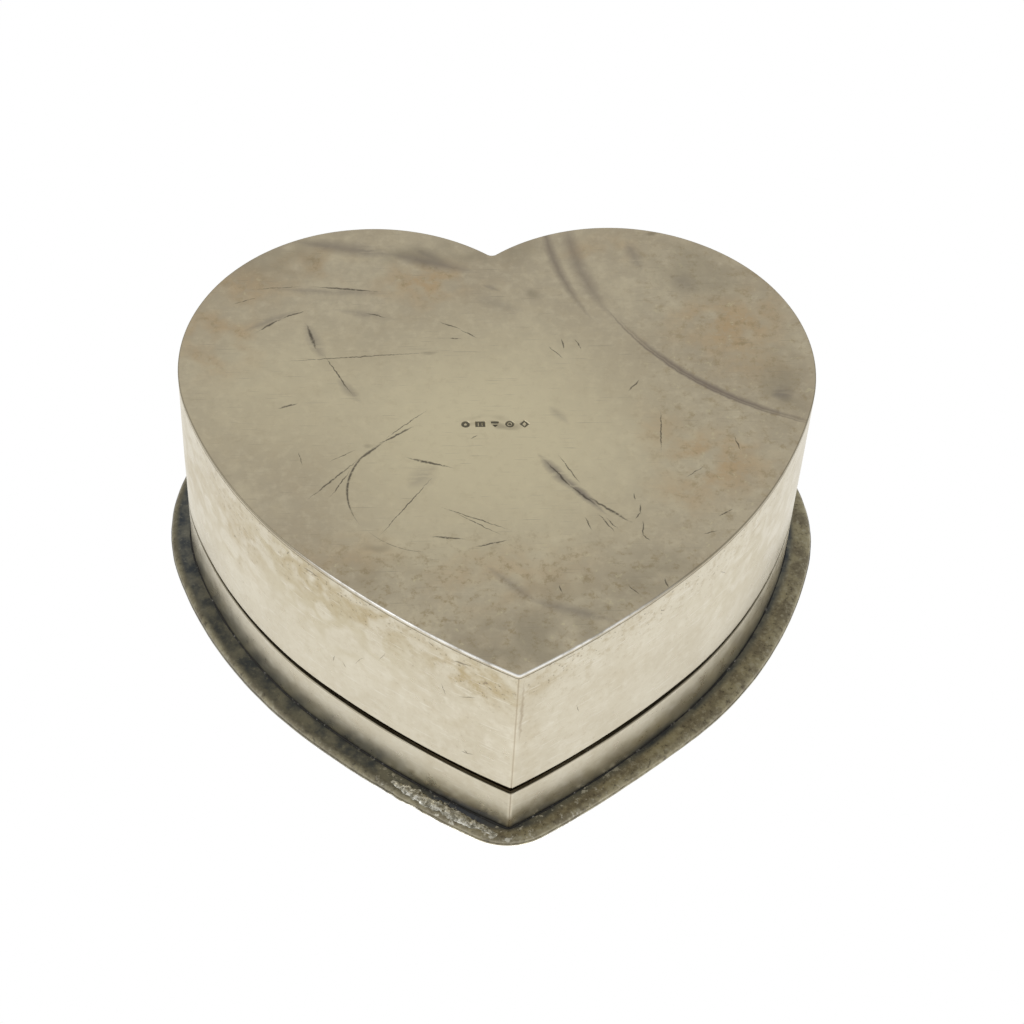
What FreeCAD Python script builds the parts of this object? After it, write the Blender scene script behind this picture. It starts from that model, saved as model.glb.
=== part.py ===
"""Heart-shaped silver trinket box with a hinged lid.

The box stands on its plain base with the lid on top.  +Z is up, the heart's
point is at the front (-Y), its cleft and the hinge are at the back (+Y), and
the origin is under the middle of the box, on the surface it rests on.

Each half of the heart is three tangent arcs: lobe, shoulder and flank.  Every
wall, strip and plate is that outline, grown or shrunk by a distance.
"""
import FreeCAD, Part
import math
import os
import Sketcher
from FreeCAD import Placement, Rotation, Vector

doc = FreeCAD.newDocument("heart_box")

# ---------------------------------------------------------------- dimensions
DIMENSIONS = {
    # the heart's outer outline, seen from above
    "lobe_radius": 25.8,
    "lobe_x": 16.2,
    "lobe_y": 12.56,
    "shoulder_radius": 62.0,
    "flank_radius": 123.0,
    "flank_x": 59.7,
    "flank_y": 68.32,
    "corner_round": 0.8,
    # the box: a flat base sheet with the wall strips standing on it
    "base_thick": 0.65,
    "wall_thick": 0.8,
    "wall_top": 23.4,
    "base_notch_round": 1.0,
    # the bezel: a strip soldered inside the wall, which the lid closes over
    "bezel_thick": 0.6,
    "bezel_rise": 2.0,
    "bezel_depth": 5.0,
    # the lid: a skirt flush with the wall, under an overhanging top
    "skirt_thick": 0.6,
    "gap_back": 0.05,
    "gap_slope": 0.0165,
    "lid_seat": 32.3,
    "overhang": 2.8,
    "lid_thick": 1.3,
    "tip_round": 8.5,
    "notch_round": 1.6,
    "rim_under_round": 0.85,
    "rim_top_round": 0.35,
    "panel_inset": 4.6,
    "panel_thick": 0.8,
    "panel_rise": 0.9,
    "panel_round": 0.8,
    "panel_tip_round": 5.0,
    # the hinge: five knuckles on one pin, behind the cleft
    "hinge_y": 39.2,
    "knuckle_radius": 1.2,
    "bore_radius": 0.65,
    "pin_radius": 0.6,
    "knuckle_length": 4.0,
    "knuckle_gap": 0.1,
    "swing_clearance": 0.15,
    "leaf_thick": 0.9,
    "plug_length": 1.3,
    "plug_proud": 0.3,
    "plug_round": 0.28,
}

sheet = doc.addObject("Spreadsheet::Sheet", "Dims")
for row, (word, number) in enumerate(DIMENSIONS.items(), start=1):
    sheet.set(f"A{row}", word)
    sheet.set(f"B{row}", str(number))
    sheet.setAlias(f"B{row}", word)
doc.recompute()


def value(expression):
    """The number that an expression of the dimensions comes to."""
    return float(sheet.evalExpression(expression))


# ------------------------------------------------------------- sketch helpers
CENTRE = 3
START = 1
END = 2
ORIGIN = (-1, 1)
Y_AXIS = -2


def new_body(label):
    """An empty body whose label names the sub-part."""
    body = doc.addObject("PartDesign::Body", label)
    body.Label = label
    return body


def plane_of(body, role):
    """One of the body's own origin planes, such as XY_Plane."""
    for feature in body.Origin.OriginFeatures:
        if feature.Role == role:
            return feature
    raise ValueError(role)


def new_sketch(body, name, role="XY_Plane", lift=None):
    """A sketch on one of the body's planes, lifted off it by an expression."""
    sketch = body.newObject("Sketcher::SketchObject", name)
    sketch.AttachmentSupport = [(plane_of(body, role), "")]
    sketch.MapMode = "FlatFace"
    if lift:
        sketch.setExpression("AttachmentOffset.Base.z", lift)
    return sketch


def constrain(sketch, kind, *where, expression=None):
    """Add one constraint; a dimension keeps its expression."""
    if expression is None:
        sketch.addConstraint(Sketcher.Constraint(kind, *where))
        return
    index = sketch.addConstraint(Sketcher.Constraint(kind, *where, value(expression)))
    sketch.setExpression(f"Constraints[{index}]", expression)


def pad(body, sketch, name, length, midplane=False):
    """Raise a sketch by a length."""
    feature = body.newObject("PartDesign::Pad", name)
    feature.Profile = sketch
    feature.Midplane = midplane
    feature.setExpression("Length", length)
    doc.recompute()
    return feature


def pocket(body, sketch, name, length, midplane=False, reverse=False):
    """Cut a sketch out of the body and check that something came away."""
    before = body.Shape.Volume
    feature = body.newObject("PartDesign::Pocket", name)
    feature.Profile = sketch
    feature.Midplane = midplane
    feature.Reversed = reverse
    feature.setExpression("Length", length)
    doc.recompute()
    if body.Shape.Volume >= before - 1e-6:
        raise ValueError(f"{name} cuts nothing")
    return feature


def mirror(body, features):
    """Repeat features on the other side of the heart's middle plane."""
    feature = body.newObject("PartDesign::Mirrored", body.Label + "_mirrored")
    feature.Originals = features
    feature.MirrorPlane = (plane_of(body, "YZ_Plane"), [""])
    body.Tip = feature
    doc.recompute()
    return feature


def fillet(body, name, radius, wanted):
    """Round every edge for which wanted(edge) is true."""
    tip = body.Tip
    names = [f"Edge{i}" for i, edge in enumerate(tip.Shape.Edges, start=1) if wanted(edge)]
    feature = body.newObject("PartDesign::Fillet", name)
    feature.Base = (tip, names)
    feature.setExpression("Radius", radius)
    doc.recompute()
    return feature


# -------------------------------------------------------------- heart outline
def heart_centres(side):
    """Centres of the lobe, shoulder and flank arcs on one side (+1 or -1)."""
    lobe = Vector(side * value("lobe_x"), value("lobe_y"), 0)
    flank = Vector(-side * value("flank_x"), value("flank_y"), 0)
    reach_lobe = value("shoulder_radius - lobe_radius")
    reach_flank = value("flank_radius - shoulder_radius")
    apart = flank - lobe
    span = apart.Length
    along = (reach_lobe**2 - reach_flank**2 + span**2) / (2 * span)
    across = math.sqrt(reach_lobe**2 - along**2)
    direction = apart / span
    normal = Vector(-direction.y, direction.x, 0)
    shoulder = lobe + direction * along + normal * (side * across)
    return lobe, shoulder, flank


def crossing(centre, radius, sign):
    """Where a circle meets the middle plane, behind (+1) or before (-1) it."""
    return Vector(0, centre.y + sign * math.sqrt(radius**2 - centre.x**2), 0)


def add_arc(sketch, centre, radius, first, last):
    """An arc from first to last, taken the short way round."""
    a = math.atan2(first.y - centre.y, first.x - centre.x)
    b = math.atan2(last.y - centre.y, last.x - centre.x)
    turn = (b - a) % (2 * math.pi)
    circle = Part.Circle(centre, Vector(0, 0, 1), radius)
    if turn <= math.pi:
        index = sketch.addGeometry(Part.ArcOfCircle(circle, a, a + turn))
        return index, START, END
    index = sketch.addGeometry(Part.ArcOfCircle(circle, b, a))
    return index, END, START


def half_outline(sketch, side, grow, tip=None, notch=None):
    """Tangent arcs from the cleft to the point, grown outwards.

    tip and notch are radii that round the point and the bottom of the cleft.
    Gives back the sketch's names for the end at the cleft and at the point.
    """
    lobe, shoulder, flank = heart_centres(side)
    radii = [f"Dims.{arc}_radius + {grow}" for arc in ("lobe", "shoulder", "flank")]
    r_lobe, r_shoulder, r_flank = [value(radius) for radius in radii]
    centres = [lobe, shoulder, flank]
    stops = [
        crossing(lobe, r_lobe, 1),
        lobe + (lobe - shoulder).normalize() * r_lobe,
        shoulder + (shoulder - flank).normalize() * r_shoulder,
        crossing(flank, r_flank, -1),
    ]
    if tip:
        middle = crossing(flank, r_flank - value(tip), -1)
        stops[-1:] = [flank + (middle - flank).normalize() * r_flank, middle - Vector(0, value(tip), 0)]
        centres.append(middle)
        radii.append(tip)
    if notch:
        middle = crossing(lobe, r_lobe + value(notch), 1)
        stops[:1] = [middle - Vector(0, value(notch), 0), lobe + (middle - lobe).normalize() * r_lobe]
        centres.insert(0, middle)
        radii.insert(0, notch)
    arcs = []
    for centre, radius, first, last in zip(centres, radii, stops, stops[1:]):
        arcs.append(add_arc(sketch, centre, value(radius), first, last))
        constrain(sketch, "Radius", arcs[-1][0], expression=radius)
    for (index, _, last), (following, first, _) in zip(arcs, arcs[1:]):
        constrain(sketch, "Tangent", index, last, following, first)
    place_centre(sketch, arcs[centres.index(lobe)][0], side, "Dims.lobe_x", "Dims.lobe_y")
    place_centre(sketch, arcs[centres.index(flank)][0], -side, "Dims.flank_x", "Dims.flank_y")
    constrain(sketch, "PointOnObject", arcs[0][0], arcs[0][1], Y_AXIS)
    constrain(sketch, "PointOnObject", arcs[-1][0], arcs[-1][2], Y_AXIS)
    for (index, _, _), centre in zip(arcs, centres):
        if centre.x == 0:
            constrain(sketch, "PointOnObject", index, CENTRE, Y_AXIS)
    return (arcs[0][0], arcs[0][1], stops[0]), (arcs[-1][0], arcs[-1][2], stops[-1])


def place_centre(sketch, index, side, across, along):
    """Fix an arc's centre at a distance to one side of the middle plane."""
    points = (*ORIGIN, index, CENTRE) if side > 0 else (index, CENTRE, *ORIGIN)
    constrain(sketch, "DistanceX", *points, expression=across)
    constrain(sketch, "DistanceY", *ORIGIN, index, CENTRE, expression=along)


def join(sketch, one, other):
    """A straight line between two ends, each (index, position, place)."""
    index = sketch.addGeometry(Part.LineSegment(one[2], other[2]))
    constrain(sketch, "Coincident", index, START, one[0], one[1])
    constrain(sketch, "Coincident", index, END, other[0], other[1])


def half_heart(body, name, grow, lift, tip, notch):
    """A sketch of the heart's right half, closed along the middle plane."""
    sketch = new_sketch(body, name, lift=lift)
    cleft, point = half_outline(sketch, 1, grow, tip, notch)
    join(sketch, cleft, point)
    return sketch


def half_band(body, name, side, outer, inner, lift, tip=None):
    """A sketch of a strip bent round one half of the heart."""
    sketch = new_sketch(body, name, lift=lift)
    outer_cleft, outer_point = half_outline(sketch, side, outer, tip)
    inner_cleft, inner_point = half_outline(sketch, side, inner)
    join(sketch, outer_cleft, inner_cleft)
    join(sketch, outer_point, inner_point)
    return sketch


# -------------------------------------------------------------------- the box
def make_base_plate():
    """The flat sheet that closes the bottom; its edge is flush with the wall."""
    body = new_body("base_plate")
    outline = half_heart(body, "base_outline", "0", "0", "Dims.corner_round", "Dims.base_notch_round")
    sheet_half = pad(body, outline, "base_sheet", "Dims.base_thick")
    mirror(body, [sheet_half])
    return body


def make_wall(label, side):
    """One wall strip, from the cleft round a lobe and down to the point."""
    body = new_body(label)
    inner = "-Dims.wall_thick"
    band = half_band(body, label + "_band", side, "0", inner, "Dims.base_thick", "Dims.corner_round")
    pad(body, band, label + "_strip", "Dims.wall_top - Dims.base_thick")
    return body


def make_bezel(label, side):
    """The strip inside the wall that stands up into the lid."""
    body = new_body(label)
    inner = "-Dims.wall_thick - Dims.bezel_thick"
    lift = "Dims.wall_top - Dims.bezel_depth"
    band = half_band(body, label + "_band", side, "-Dims.wall_thick", inner, lift)
    pad(body, band, label + "_strip", "Dims.bezel_depth + Dims.bezel_rise")
    return body


# -------------------------------------------------------------------- the lid
def make_skirt(label, side):
    """One strip of the lid's side; its lower edge falls away from the hinge."""
    body = new_body(label)
    lift = "Dims.wall_top + Dims.gap_back"
    band = half_band(body, label + "_band", side, "0", "-Dims.skirt_thick", lift, "Dims.corner_round")
    pad(body, band, label + "_strip", f"Dims.lid_seat - ({lift})")
    cut_sloping_edge(body, label)
    return body


def cut_sloping_edge(body, label):
    """Trim the lower edge so that the closing gap widens towards the point."""
    sketch = new_sketch(body, label + "_slope", role="YZ_Plane")
    front = value("-Dims.hinge_y * 2")
    edge = value("Dims.wall_top + Dims.gap_back")
    drop = value("Dims.hinge_y * 3 * Dims.gap_slope")
    corners = [
        Vector(value("Dims.hinge_y"), edge, 0),
        Vector(front, edge, 0),
        Vector(front, edge + drop, 0),
    ]
    for first, last in zip(corners, corners[1:] + corners[:1]):
        sketch.addGeometry(Part.LineSegment(first, last))
    for index in range(3):
        constrain(sketch, "Coincident", index, END, (index + 1) % 3, START)
    constrain(sketch, "Horizontal", 0)
    constrain(sketch, "Vertical", 1)
    constrain(sketch, "DistanceX", *ORIGIN, 0, START, expression="Dims.hinge_y")
    constrain(sketch, "DistanceY", *ORIGIN, 0, START, expression="Dims.wall_top + Dims.gap_back")
    constrain(sketch, "DistanceX", 0, END, 0, START, expression="Dims.hinge_y * 3")
    constrain(sketch, "DistanceY", 1, START, 1, END, expression="Dims.hinge_y * 3 * Dims.gap_slope")
    pocket(body, sketch, label + "_edge", "Dims.lobe_radius * 4", midplane=True)


def make_lid_top():
    """The lid's top sheet: an overhanging rim round a low raised panel."""
    body = new_body("lid_top")
    seat = "Dims.lid_seat"
    rim_top = "Dims.lid_seat + Dims.lid_thick"
    tip, notch = "Dims.tip_round", "Dims.notch_round"
    rim_outline = half_heart(body, "rim_outline", "Dims.overhang", seat, tip, notch)
    rim = pad(body, rim_outline, "lid_rim", "Dims.lid_thick")
    tip = "Dims.panel_tip_round"
    panel_outline = half_heart(body, "panel_outline", "-Dims.panel_inset", rim_top, tip, notch)
    panel = pad(body, panel_outline, "lid_panel", "Dims.panel_rise")
    inside = "-Dims.panel_inset - Dims.panel_thick"
    tip, notch = "Dims.panel_tip_round - Dims.panel_thick", "Dims.notch_round + Dims.panel_thick"
    hollow_outline = half_heart(body, "hollow_outline", inside, seat, tip, notch)
    depth = "Dims.lid_thick + Dims.panel_rise - Dims.panel_thick"
    hollow = pocket(body, hollow_outline, "panel_hollow", depth, reverse=True)
    mirror(body, [rim, panel, hollow])
    rim_level = value(rim_top)
    fillet(body, "rim_under", "Dims.rim_under_round", rim_edge_at(value(seat)))
    fillet(body, "rim_over", "Dims.rim_top_round", rim_edge_at(rim_level))
    fillet(body, "panel_edge", "Dims.panel_round", level_at(rim_level + value("Dims.panel_rise")))
    return body


def level_at(height):
    """A test for edges that lie flat at a height."""

    def wanted(edge):
        box = edge.BoundBox
        return abs(box.ZMax - height) < 1e-4 and abs(box.ZMin - height) < 1e-4

    return wanted


def rim_edge_at(height):
    """A test for the overhanging rim's own edges at a height."""
    level = level_at(height)

    def wanted(edge):
        middle = edge.valueAt((edge.FirstParameter + edge.LastParameter) / 2)
        return level(edge) and outside_wall(middle)

    return wanted


def outside_wall(place):
    """Whether a place is further out than the wall, by half the overhang."""
    grow = value("Dims.overhang / 2")
    lobe, shoulder, flank = heart_centres(1)
    flat = Vector(abs(place.x), place.y, 0)
    in_lobe = (flat - lobe).Length < value("Dims.lobe_radius") + grow
    in_shoulder = (flat - shoulder).Length < value("Dims.shoulder_radius") + grow
    in_flank = (flat - flank).Length < value("Dims.flank_radius") + grow
    return not (in_lobe or (in_shoulder and in_flank and flat.y < lobe.y))


# ------------------------------------------------------------------ the hinge
PITCH = "(Dims.knuckle_length + Dims.knuckle_gap)"
HALF_BARREL = "(2.5 * Dims.knuckle_length + 2 * Dims.knuckle_gap)"
HINGE_HEIGHT = "Dims.wall_top + Dims.gap_back / 2"


def hinge_circle(body, name, radius, along):
    """A circle round the hinge line, in a plane across it."""
    sketch = new_sketch(body, name, role="YZ_Plane", lift=along)
    centre = Vector(value("Dims.hinge_y"), value(HINGE_HEIGHT), 0)
    sketch.addGeometry(Part.Circle(centre, Vector(0, 0, 1), value(radius)))
    constrain(sketch, "Radius", 0, expression=radius)
    constrain(sketch, "DistanceX", *ORIGIN, 0, CENTRE, expression="Dims.hinge_y")
    constrain(sketch, "DistanceY", *ORIGIN, 0, CENTRE, expression=HINGE_HEIGHT)
    return sketch


def make_knuckle(label, station):
    """One length of hinge tube; stations run from -2 to 2 along the pin."""
    body = new_body(label)
    tube = hinge_circle(body, label + "_tube", "Dims.knuckle_radius", f"{station} * {PITCH}")
    pad(body, tube, label + "_length", "Dims.knuckle_length", midplane=True)
    bore = hinge_circle(body, label + "_hole", "Dims.bore_radius", f"{station} * {PITCH}")
    pocket(body, bore, label + "_bore", "Dims.knuckle_length", midplane=True)
    return body


def make_leaf(label, lift, clear_stations):
    """The plate that carries the hinge across the cleft.

    Its front edge fits the two lobes.  It is cut to seat its own knuckles and
    cut deeper where the other part's knuckles turn.
    """
    body = new_body(label)
    sketch = new_sketch(body, label + "_outline", lift=lift)
    half_width = HALF_BARREL
    back = value("Dims.hinge_y")
    cleft = crossing(heart_centres(1)[0], value("lobe_radius"), 1)
    ends = {}
    for side in (-1, 1):
        lobe = heart_centres(side)[0]
        x = side * value(half_width)
        corner = Vector(x, lobe.y + math.sqrt(value("lobe_radius") ** 2 - (x - lobe.x) ** 2), 0)
        index, at_corner, at_cleft = add_arc(sketch, lobe, value("lobe_radius"), corner, cleft)
        constrain(sketch, "Radius", index, expression="Dims.lobe_radius")
        place_centre(sketch, index, side, "Dims.lobe_x", "Dims.lobe_y")
        constrain(sketch, "PointOnObject", index, at_cleft, Y_AXIS)
        line = sketch.addGeometry(Part.LineSegment(corner, Vector(x, back, 0)))
        constrain(sketch, "Coincident", line, START, index, at_corner)
        constrain(sketch, "Vertical", line)
        points = (*ORIGIN, line, END) if side > 0 else (line, END, *ORIGIN)
        constrain(sketch, "DistanceX", *points, expression=half_width)
        ends[side] = (line, END, Vector(x, back, 0))
    constrain(sketch, "DistanceY", *ORIGIN, ends[1][0], END, expression="Dims.hinge_y")
    join(sketch, ends[-1], ends[1])
    constrain(sketch, "Horizontal", sketch.GeometryCount - 1)
    pad(body, sketch, label + "_sheet", "Dims.leaf_thick")
    seat = hinge_circle(body, label + "_seat_circle", "Dims.knuckle_radius", "0")
    pocket(body, seat, label + "_seat", f"2 * {half_width}", midplane=True)
    for number, station in enumerate(clear_stations):
        along = f"{station} * {PITCH}"
        radius = "Dims.knuckle_radius + Dims.swing_clearance"
        circle = hinge_circle(body, f"{label}_clearance_circle_{number}", radius, along)
        length = "Dims.knuckle_length + 2 * Dims.knuckle_gap"
        pocket(body, circle, f"{label}_clearance_{number}", length, midplane=True)
    return body


def make_hinge_pin():
    """The wire on which all five knuckles turn."""
    body = new_body("hinge_pin")
    circle = hinge_circle(body, "pin_circle", "Dims.pin_radius", "0")
    length = f"2 * {HALF_BARREL} - 2 * (Dims.plug_length - Dims.plug_proud)"
    pad(body, circle, "pin_length", length, midplane=True)
    return body


def make_plug(label, side):
    """A stub soldered into the end of the outer knuckle to keep the pin in."""
    body = new_body(label)
    reach = f"{side} * ({HALF_BARREL} + Dims.plug_proud - Dims.plug_length / 2)"
    circle = hinge_circle(body, label + "_circle", "Dims.bore_radius", reach)
    pad(body, circle, label + "_stub", "Dims.plug_length", midplane=True)
    outer = value(f"{HALF_BARREL} + Dims.plug_proud")

    def outer_end(edge):
        return abs(edge.BoundBox.XMin - side * outer) < 1e-4 and edge.BoundBox.XLength < 1e-4

    fillet(body, label + "_dome", "Dims.plug_round", outer_end)
    return body


# ------------------------------------------------------------------- assembly
sub_parts = [
    make_base_plate(),
    make_wall("wall_left", -1),
    make_wall("wall_right", 1),
    make_bezel("bezel_left", -1),
    make_bezel("bezel_right", 1),
    make_leaf("box_leaf", "Dims.wall_top - Dims.leaf_thick", (-1, 1)),
    make_knuckle("box_knuckle_left", -2),
    make_knuckle("box_knuckle_middle", 0),
    make_knuckle("box_knuckle_right", 2),
    make_hinge_pin(),
    make_plug("hinge_plug_left", -1),
    make_plug("hinge_plug_right", 1),
    make_skirt("lid_skirt_left", -1),
    make_skirt("lid_skirt_right", 1),
    make_lid_top(),
    make_leaf("lid_leaf", "Dims.wall_top + Dims.gap_back", (-2, 0, 2)),
    make_knuckle("lid_knuckle_left", -1),
    make_knuckle("lid_knuckle_right", 1),
]
doc.recompute()

for thing in doc.Objects:
    if "Invalid" in thing.State or "Error" in thing.State:
        raise ValueError(f"{thing.Label} failed: {thing.State}")
for part in sub_parts:
    part.Placement = Placement(Vector(0, 0, 0), Rotation())
    if part.Shape.isNull() or not part.Shape.isValid() or len(part.Shape.Solids) != 1:
        raise ValueError(f"{part.Label} is not one good solid")

os.makedirs("parts", exist_ok=True)
whole = FreeCAD.BoundBox()
for part in sub_parts:
    part.Shape.exportStep(f"parts/{part.Label}.step")
    whole.add(part.Shape.BoundBox)
    print(f"{part.Label:20s} {part.Shape.Volume:9.2f} mm3")
print("x", round(whole.XMin, 3), round(whole.XMax, 3))
print("y", round(whole.YMin, 3), round(whole.YMax, 3))
print("z", round(whole.ZMin, 3), round(whole.ZMax, 3))
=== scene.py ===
# %% [markdown]
# # A heart-shaped trinket box in old silver
# The box is two heart-shaped bands of sheet silver, each closed by a flat plate. The lower band
# and its plate are the box, the upper band and its overhanging top are the lid, and a small hinge
# in the cleft joins them. The CAD model fixes every size. This lesson gives it the surfaces of a
# box that has been polished, dropped, scratched and put away for a hundred years.
#
# The first cell loads the CAD model. Everything after it is placed from that model's own boxes.

# %% Load the fixed frame
import math

import bpy
import bmesh
from mathutils import Matrix, Vector, noise


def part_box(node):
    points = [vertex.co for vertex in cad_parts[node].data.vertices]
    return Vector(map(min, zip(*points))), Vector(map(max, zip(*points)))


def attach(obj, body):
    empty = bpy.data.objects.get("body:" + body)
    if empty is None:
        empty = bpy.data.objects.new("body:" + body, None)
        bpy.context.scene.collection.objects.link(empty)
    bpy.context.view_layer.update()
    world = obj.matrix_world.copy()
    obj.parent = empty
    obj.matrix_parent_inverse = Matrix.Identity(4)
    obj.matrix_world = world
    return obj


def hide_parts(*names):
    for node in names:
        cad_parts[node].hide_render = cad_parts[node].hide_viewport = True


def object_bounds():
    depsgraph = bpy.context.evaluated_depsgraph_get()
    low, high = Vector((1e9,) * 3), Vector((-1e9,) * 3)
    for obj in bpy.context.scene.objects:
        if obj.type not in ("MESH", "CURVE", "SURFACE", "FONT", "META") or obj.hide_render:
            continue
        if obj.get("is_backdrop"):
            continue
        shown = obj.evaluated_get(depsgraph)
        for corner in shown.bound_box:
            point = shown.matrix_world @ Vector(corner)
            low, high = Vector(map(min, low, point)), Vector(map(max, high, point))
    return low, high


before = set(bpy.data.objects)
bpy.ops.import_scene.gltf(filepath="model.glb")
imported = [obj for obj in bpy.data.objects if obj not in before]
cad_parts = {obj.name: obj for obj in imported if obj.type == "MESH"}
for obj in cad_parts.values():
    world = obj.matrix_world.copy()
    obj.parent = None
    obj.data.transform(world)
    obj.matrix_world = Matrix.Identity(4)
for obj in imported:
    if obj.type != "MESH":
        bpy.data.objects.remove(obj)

cad_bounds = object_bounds()

# %% [markdown]
# ## Units
# The silversmith thinks in millimetres and Blender's frame is in metres. All the shaping below is
# done in millimetres, and one factor turns the points into metres when a mesh is made. Heights
# come from the CAD boxes, so a changed model changes this scene too.

# %% Heights and overhang from the CAD boxes
MM = 0.001


def low(node):
    """Lowest corner of a CAD node, in millimetres."""
    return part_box(node)[0] / MM


def high(node):
    """Highest corner of a CAD node, in millimetres."""
    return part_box(node)[1] / MM


base_top = high("base_plate").z
wall_top = high("wall_left").z
bezel_low = low("bezel_left").z
bezel_top = high("bezel_left").z
lid_seat = low("lid_top").z
lid_height = high("lid_top").z
overhang = high("lid_top").x - high("base_plate").x
skirt_back = low("lid_skirt_left").z
hinge_axis = (low("hinge_pin") + high("hinge_pin")) / 2
print(f"wall to {wall_top:.2f}, lid from {lid_seat:.2f} to {lid_height:.2f}, overhang {overhang:.2f} mm")

# %% [markdown]
# ## The heart
# A heart that a silversmith can bend round a former is a chain of arcs. Each half has a long flat
# flank, a shorter shoulder and a round lobe, every arc running smoothly into the next. A tiny arc
# softens the point, and another fills the cleft. A wall further in or out keeps the same centres
# and only changes the radii, which is why one function can draw every outline of the box.
#
# The same number of stations is used on every outline. Station 20 of an inner ring then lies
# beside station 20 of an outer one, and rings can be joined by plain four-sided faces.

# %% Centres and radii of the arcs
LOBE = (16.2, 12.56)
LOBE_RADIUS = 25.8
FLANK = (-59.7, 68.32)
FLANK_RADIUS = 123.0
SHOULDER_RADIUS = 62.0
POINT_ROUND = 0.8
CLEFT_ROUND = 1.0
STATIONS = (8, 62, 24, 86, 8)


def meet(one, reach_one, other, reach_other):
    """Where two circles cross, on the side that faces the point of the heart."""
    across, along = other[0] - one[0], other[1] - one[1]
    gap = math.hypot(across, along)
    share = (reach_one ** 2 - reach_other ** 2 + gap ** 2) / (2 * gap)
    rise = math.sqrt(reach_one ** 2 - share ** 2)
    x = one[0] + (share * across - rise * along) / gap
    y = one[1] + (share * along + rise * across) / gap
    return x, y


SHOULDER = min(
    meet(LOBE, SHOULDER_RADIUS - LOBE_RADIUS, FLANK, FLANK_RADIUS - SHOULDER_RADIUS),
    meet(FLANK, FLANK_RADIUS - SHOULDER_RADIUS, LOBE, SHOULDER_RADIUS - LOBE_RADIUS),
    key=lambda place: abs(place[1] - 24.0),
)
print(f"shoulder centre ({SHOULDER[0]:.2f}, {SHOULDER[1]:.2f})")


# %% [markdown]
# An outline is asked for by how far it grows from the wall's outer face (less than zero is
# inwards) and by how round its point and its cleft are.

# %% One half of an outline, then the whole ring
def arc_points(centre, radius, first, last, count):
    """Points along an arc, without its last one."""
    angles = [first + (last - first) * step / count for step in range(count)]
    return [(centre[0] + radius * math.cos(a), centre[1] + radius * math.sin(a)) for a in angles]


def heart_half(grow, tip, notch):
    """The half outline with x above zero, from the point to the cleft."""
    flank, shoulder, lobe = FLANK_RADIUS + grow, SHOULDER_RADIUS + grow, LOBE_RADIUS + grow
    tip_y = FLANK[1] - math.sqrt((flank - tip) ** 2 - FLANK[0] ** 2)
    notch_y = LOBE[1] + math.sqrt((lobe + notch) ** 2 - LOBE[0] ** 2)
    at_tip = math.atan2(tip_y - FLANK[1], -FLANK[0])
    at_shoulder = math.atan2(SHOULDER[1] - FLANK[1], SHOULDER[0] - FLANK[0])
    at_lobe = math.atan2(LOBE[1] - SHOULDER[1], LOBE[0] - SHOULDER[0])
    at_notch = math.atan2(notch_y - LOBE[1], -LOBE[0])
    right = math.pi / 2
    points = arc_points((0, tip_y), tip, -right, at_tip, STATIONS[0])
    points += arc_points(FLANK, flank, at_tip, at_shoulder, STATIONS[1])
    points += arc_points(SHOULDER, shoulder, at_shoulder, at_lobe, STATIONS[2])
    points += arc_points(LOBE, lobe, at_lobe, at_notch, STATIONS[3])
    points += arc_points((0, notch_y), notch, at_notch - math.pi, -right, STATIONS[4])
    return points + [(0.0, notch_y - notch)]


def whole(half):
    """A half outline and its mirror image as one closed ring."""
    return half + [(-x, y) for x, y in half[-2:0:-1]]


def distances(line):
    """How far along a line each of its points is."""
    total, found = 0.0, [0.0]
    for one, other in zip(line, line[1:]):
        total += math.hypot(other[0] - one[0], other[1] - one[1])
        found.append(total)
    return found


WALL_LINE = heart_half(0, POINT_ROUND, CLEFT_ROUND)
ALONG_HALF = distances(WALL_LINE)
ALONG_RING = ALONG_HALF + [-d for d in ALONG_HALF[-2:0:-1]]
print(f"{len(WALL_LINE)} stations and {ALONG_HALF[-1]:.1f} mm from point to cleft")


# %% [markdown]
# ## Sections with worn corners
# No edge of an old box is sharp. Every band is drawn as a section, a small polygon of how far out
# and how high, whose corners are rounded one by one. An extra point each side of a rounding keeps
# the flat face beside it flat when it is shaded smoothly, and long flats are divided so that they
# can carry gentle hammering.

# %% Round the corners of a section
def toward(one, other, distance):
    """The place that lies a distance from one place on the way to another."""
    length = math.dist(one, other)
    return tuple(a + (b - a) * distance / length for a, b in zip(one, other))


def rounded(corners, closed=True, step=1.6, bends=5, guard=0.22):
    """Points of a section. Each corner is (how far out, how high, radius)."""
    points, count = [], len(corners)
    for index, (out, height, radius) in enumerate(corners):
        corner = (out, height)
        if radius == 0 or (not closed and index in (0, count - 1)):
            points.append(corner)
            continue
        before, after = corners[index - 1][:2], corners[(index + 1) % count][:2]
        one, other = toward(corner, before, 1), toward(corner, after, 1)
        half_angle = math.asin(min(1.0, math.dist(one, other) / 2))
        reach = radius / math.tan(half_angle)
        start, end = toward(corner, before, reach), toward(corner, after, reach)
        middle = ((one[0] + other[0]) / 2, (one[1] + other[1]) / 2)
        centre = toward(corner, middle, radius / math.sin(half_angle))
        first = math.atan2(start[1] - centre[1], start[0] - centre[0])
        turn = math.atan2(end[1] - centre[1], end[0] - centre[0]) - first
        turn = (turn + math.pi) % (2 * math.pi) - math.pi
        points.append(toward(corner, before, min(reach + guard, math.dist(corner, before) / 2)))
        for bend in range(bends + 1):
            angle = first + turn * bend / bends
            points.append((centre[0] + radius * math.cos(angle), centre[1] + radius * math.sin(angle)))
        points.append(toward(corner, after, min(reach + guard, math.dist(corner, after) / 2)))
    return divided(points, closed, step)


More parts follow.
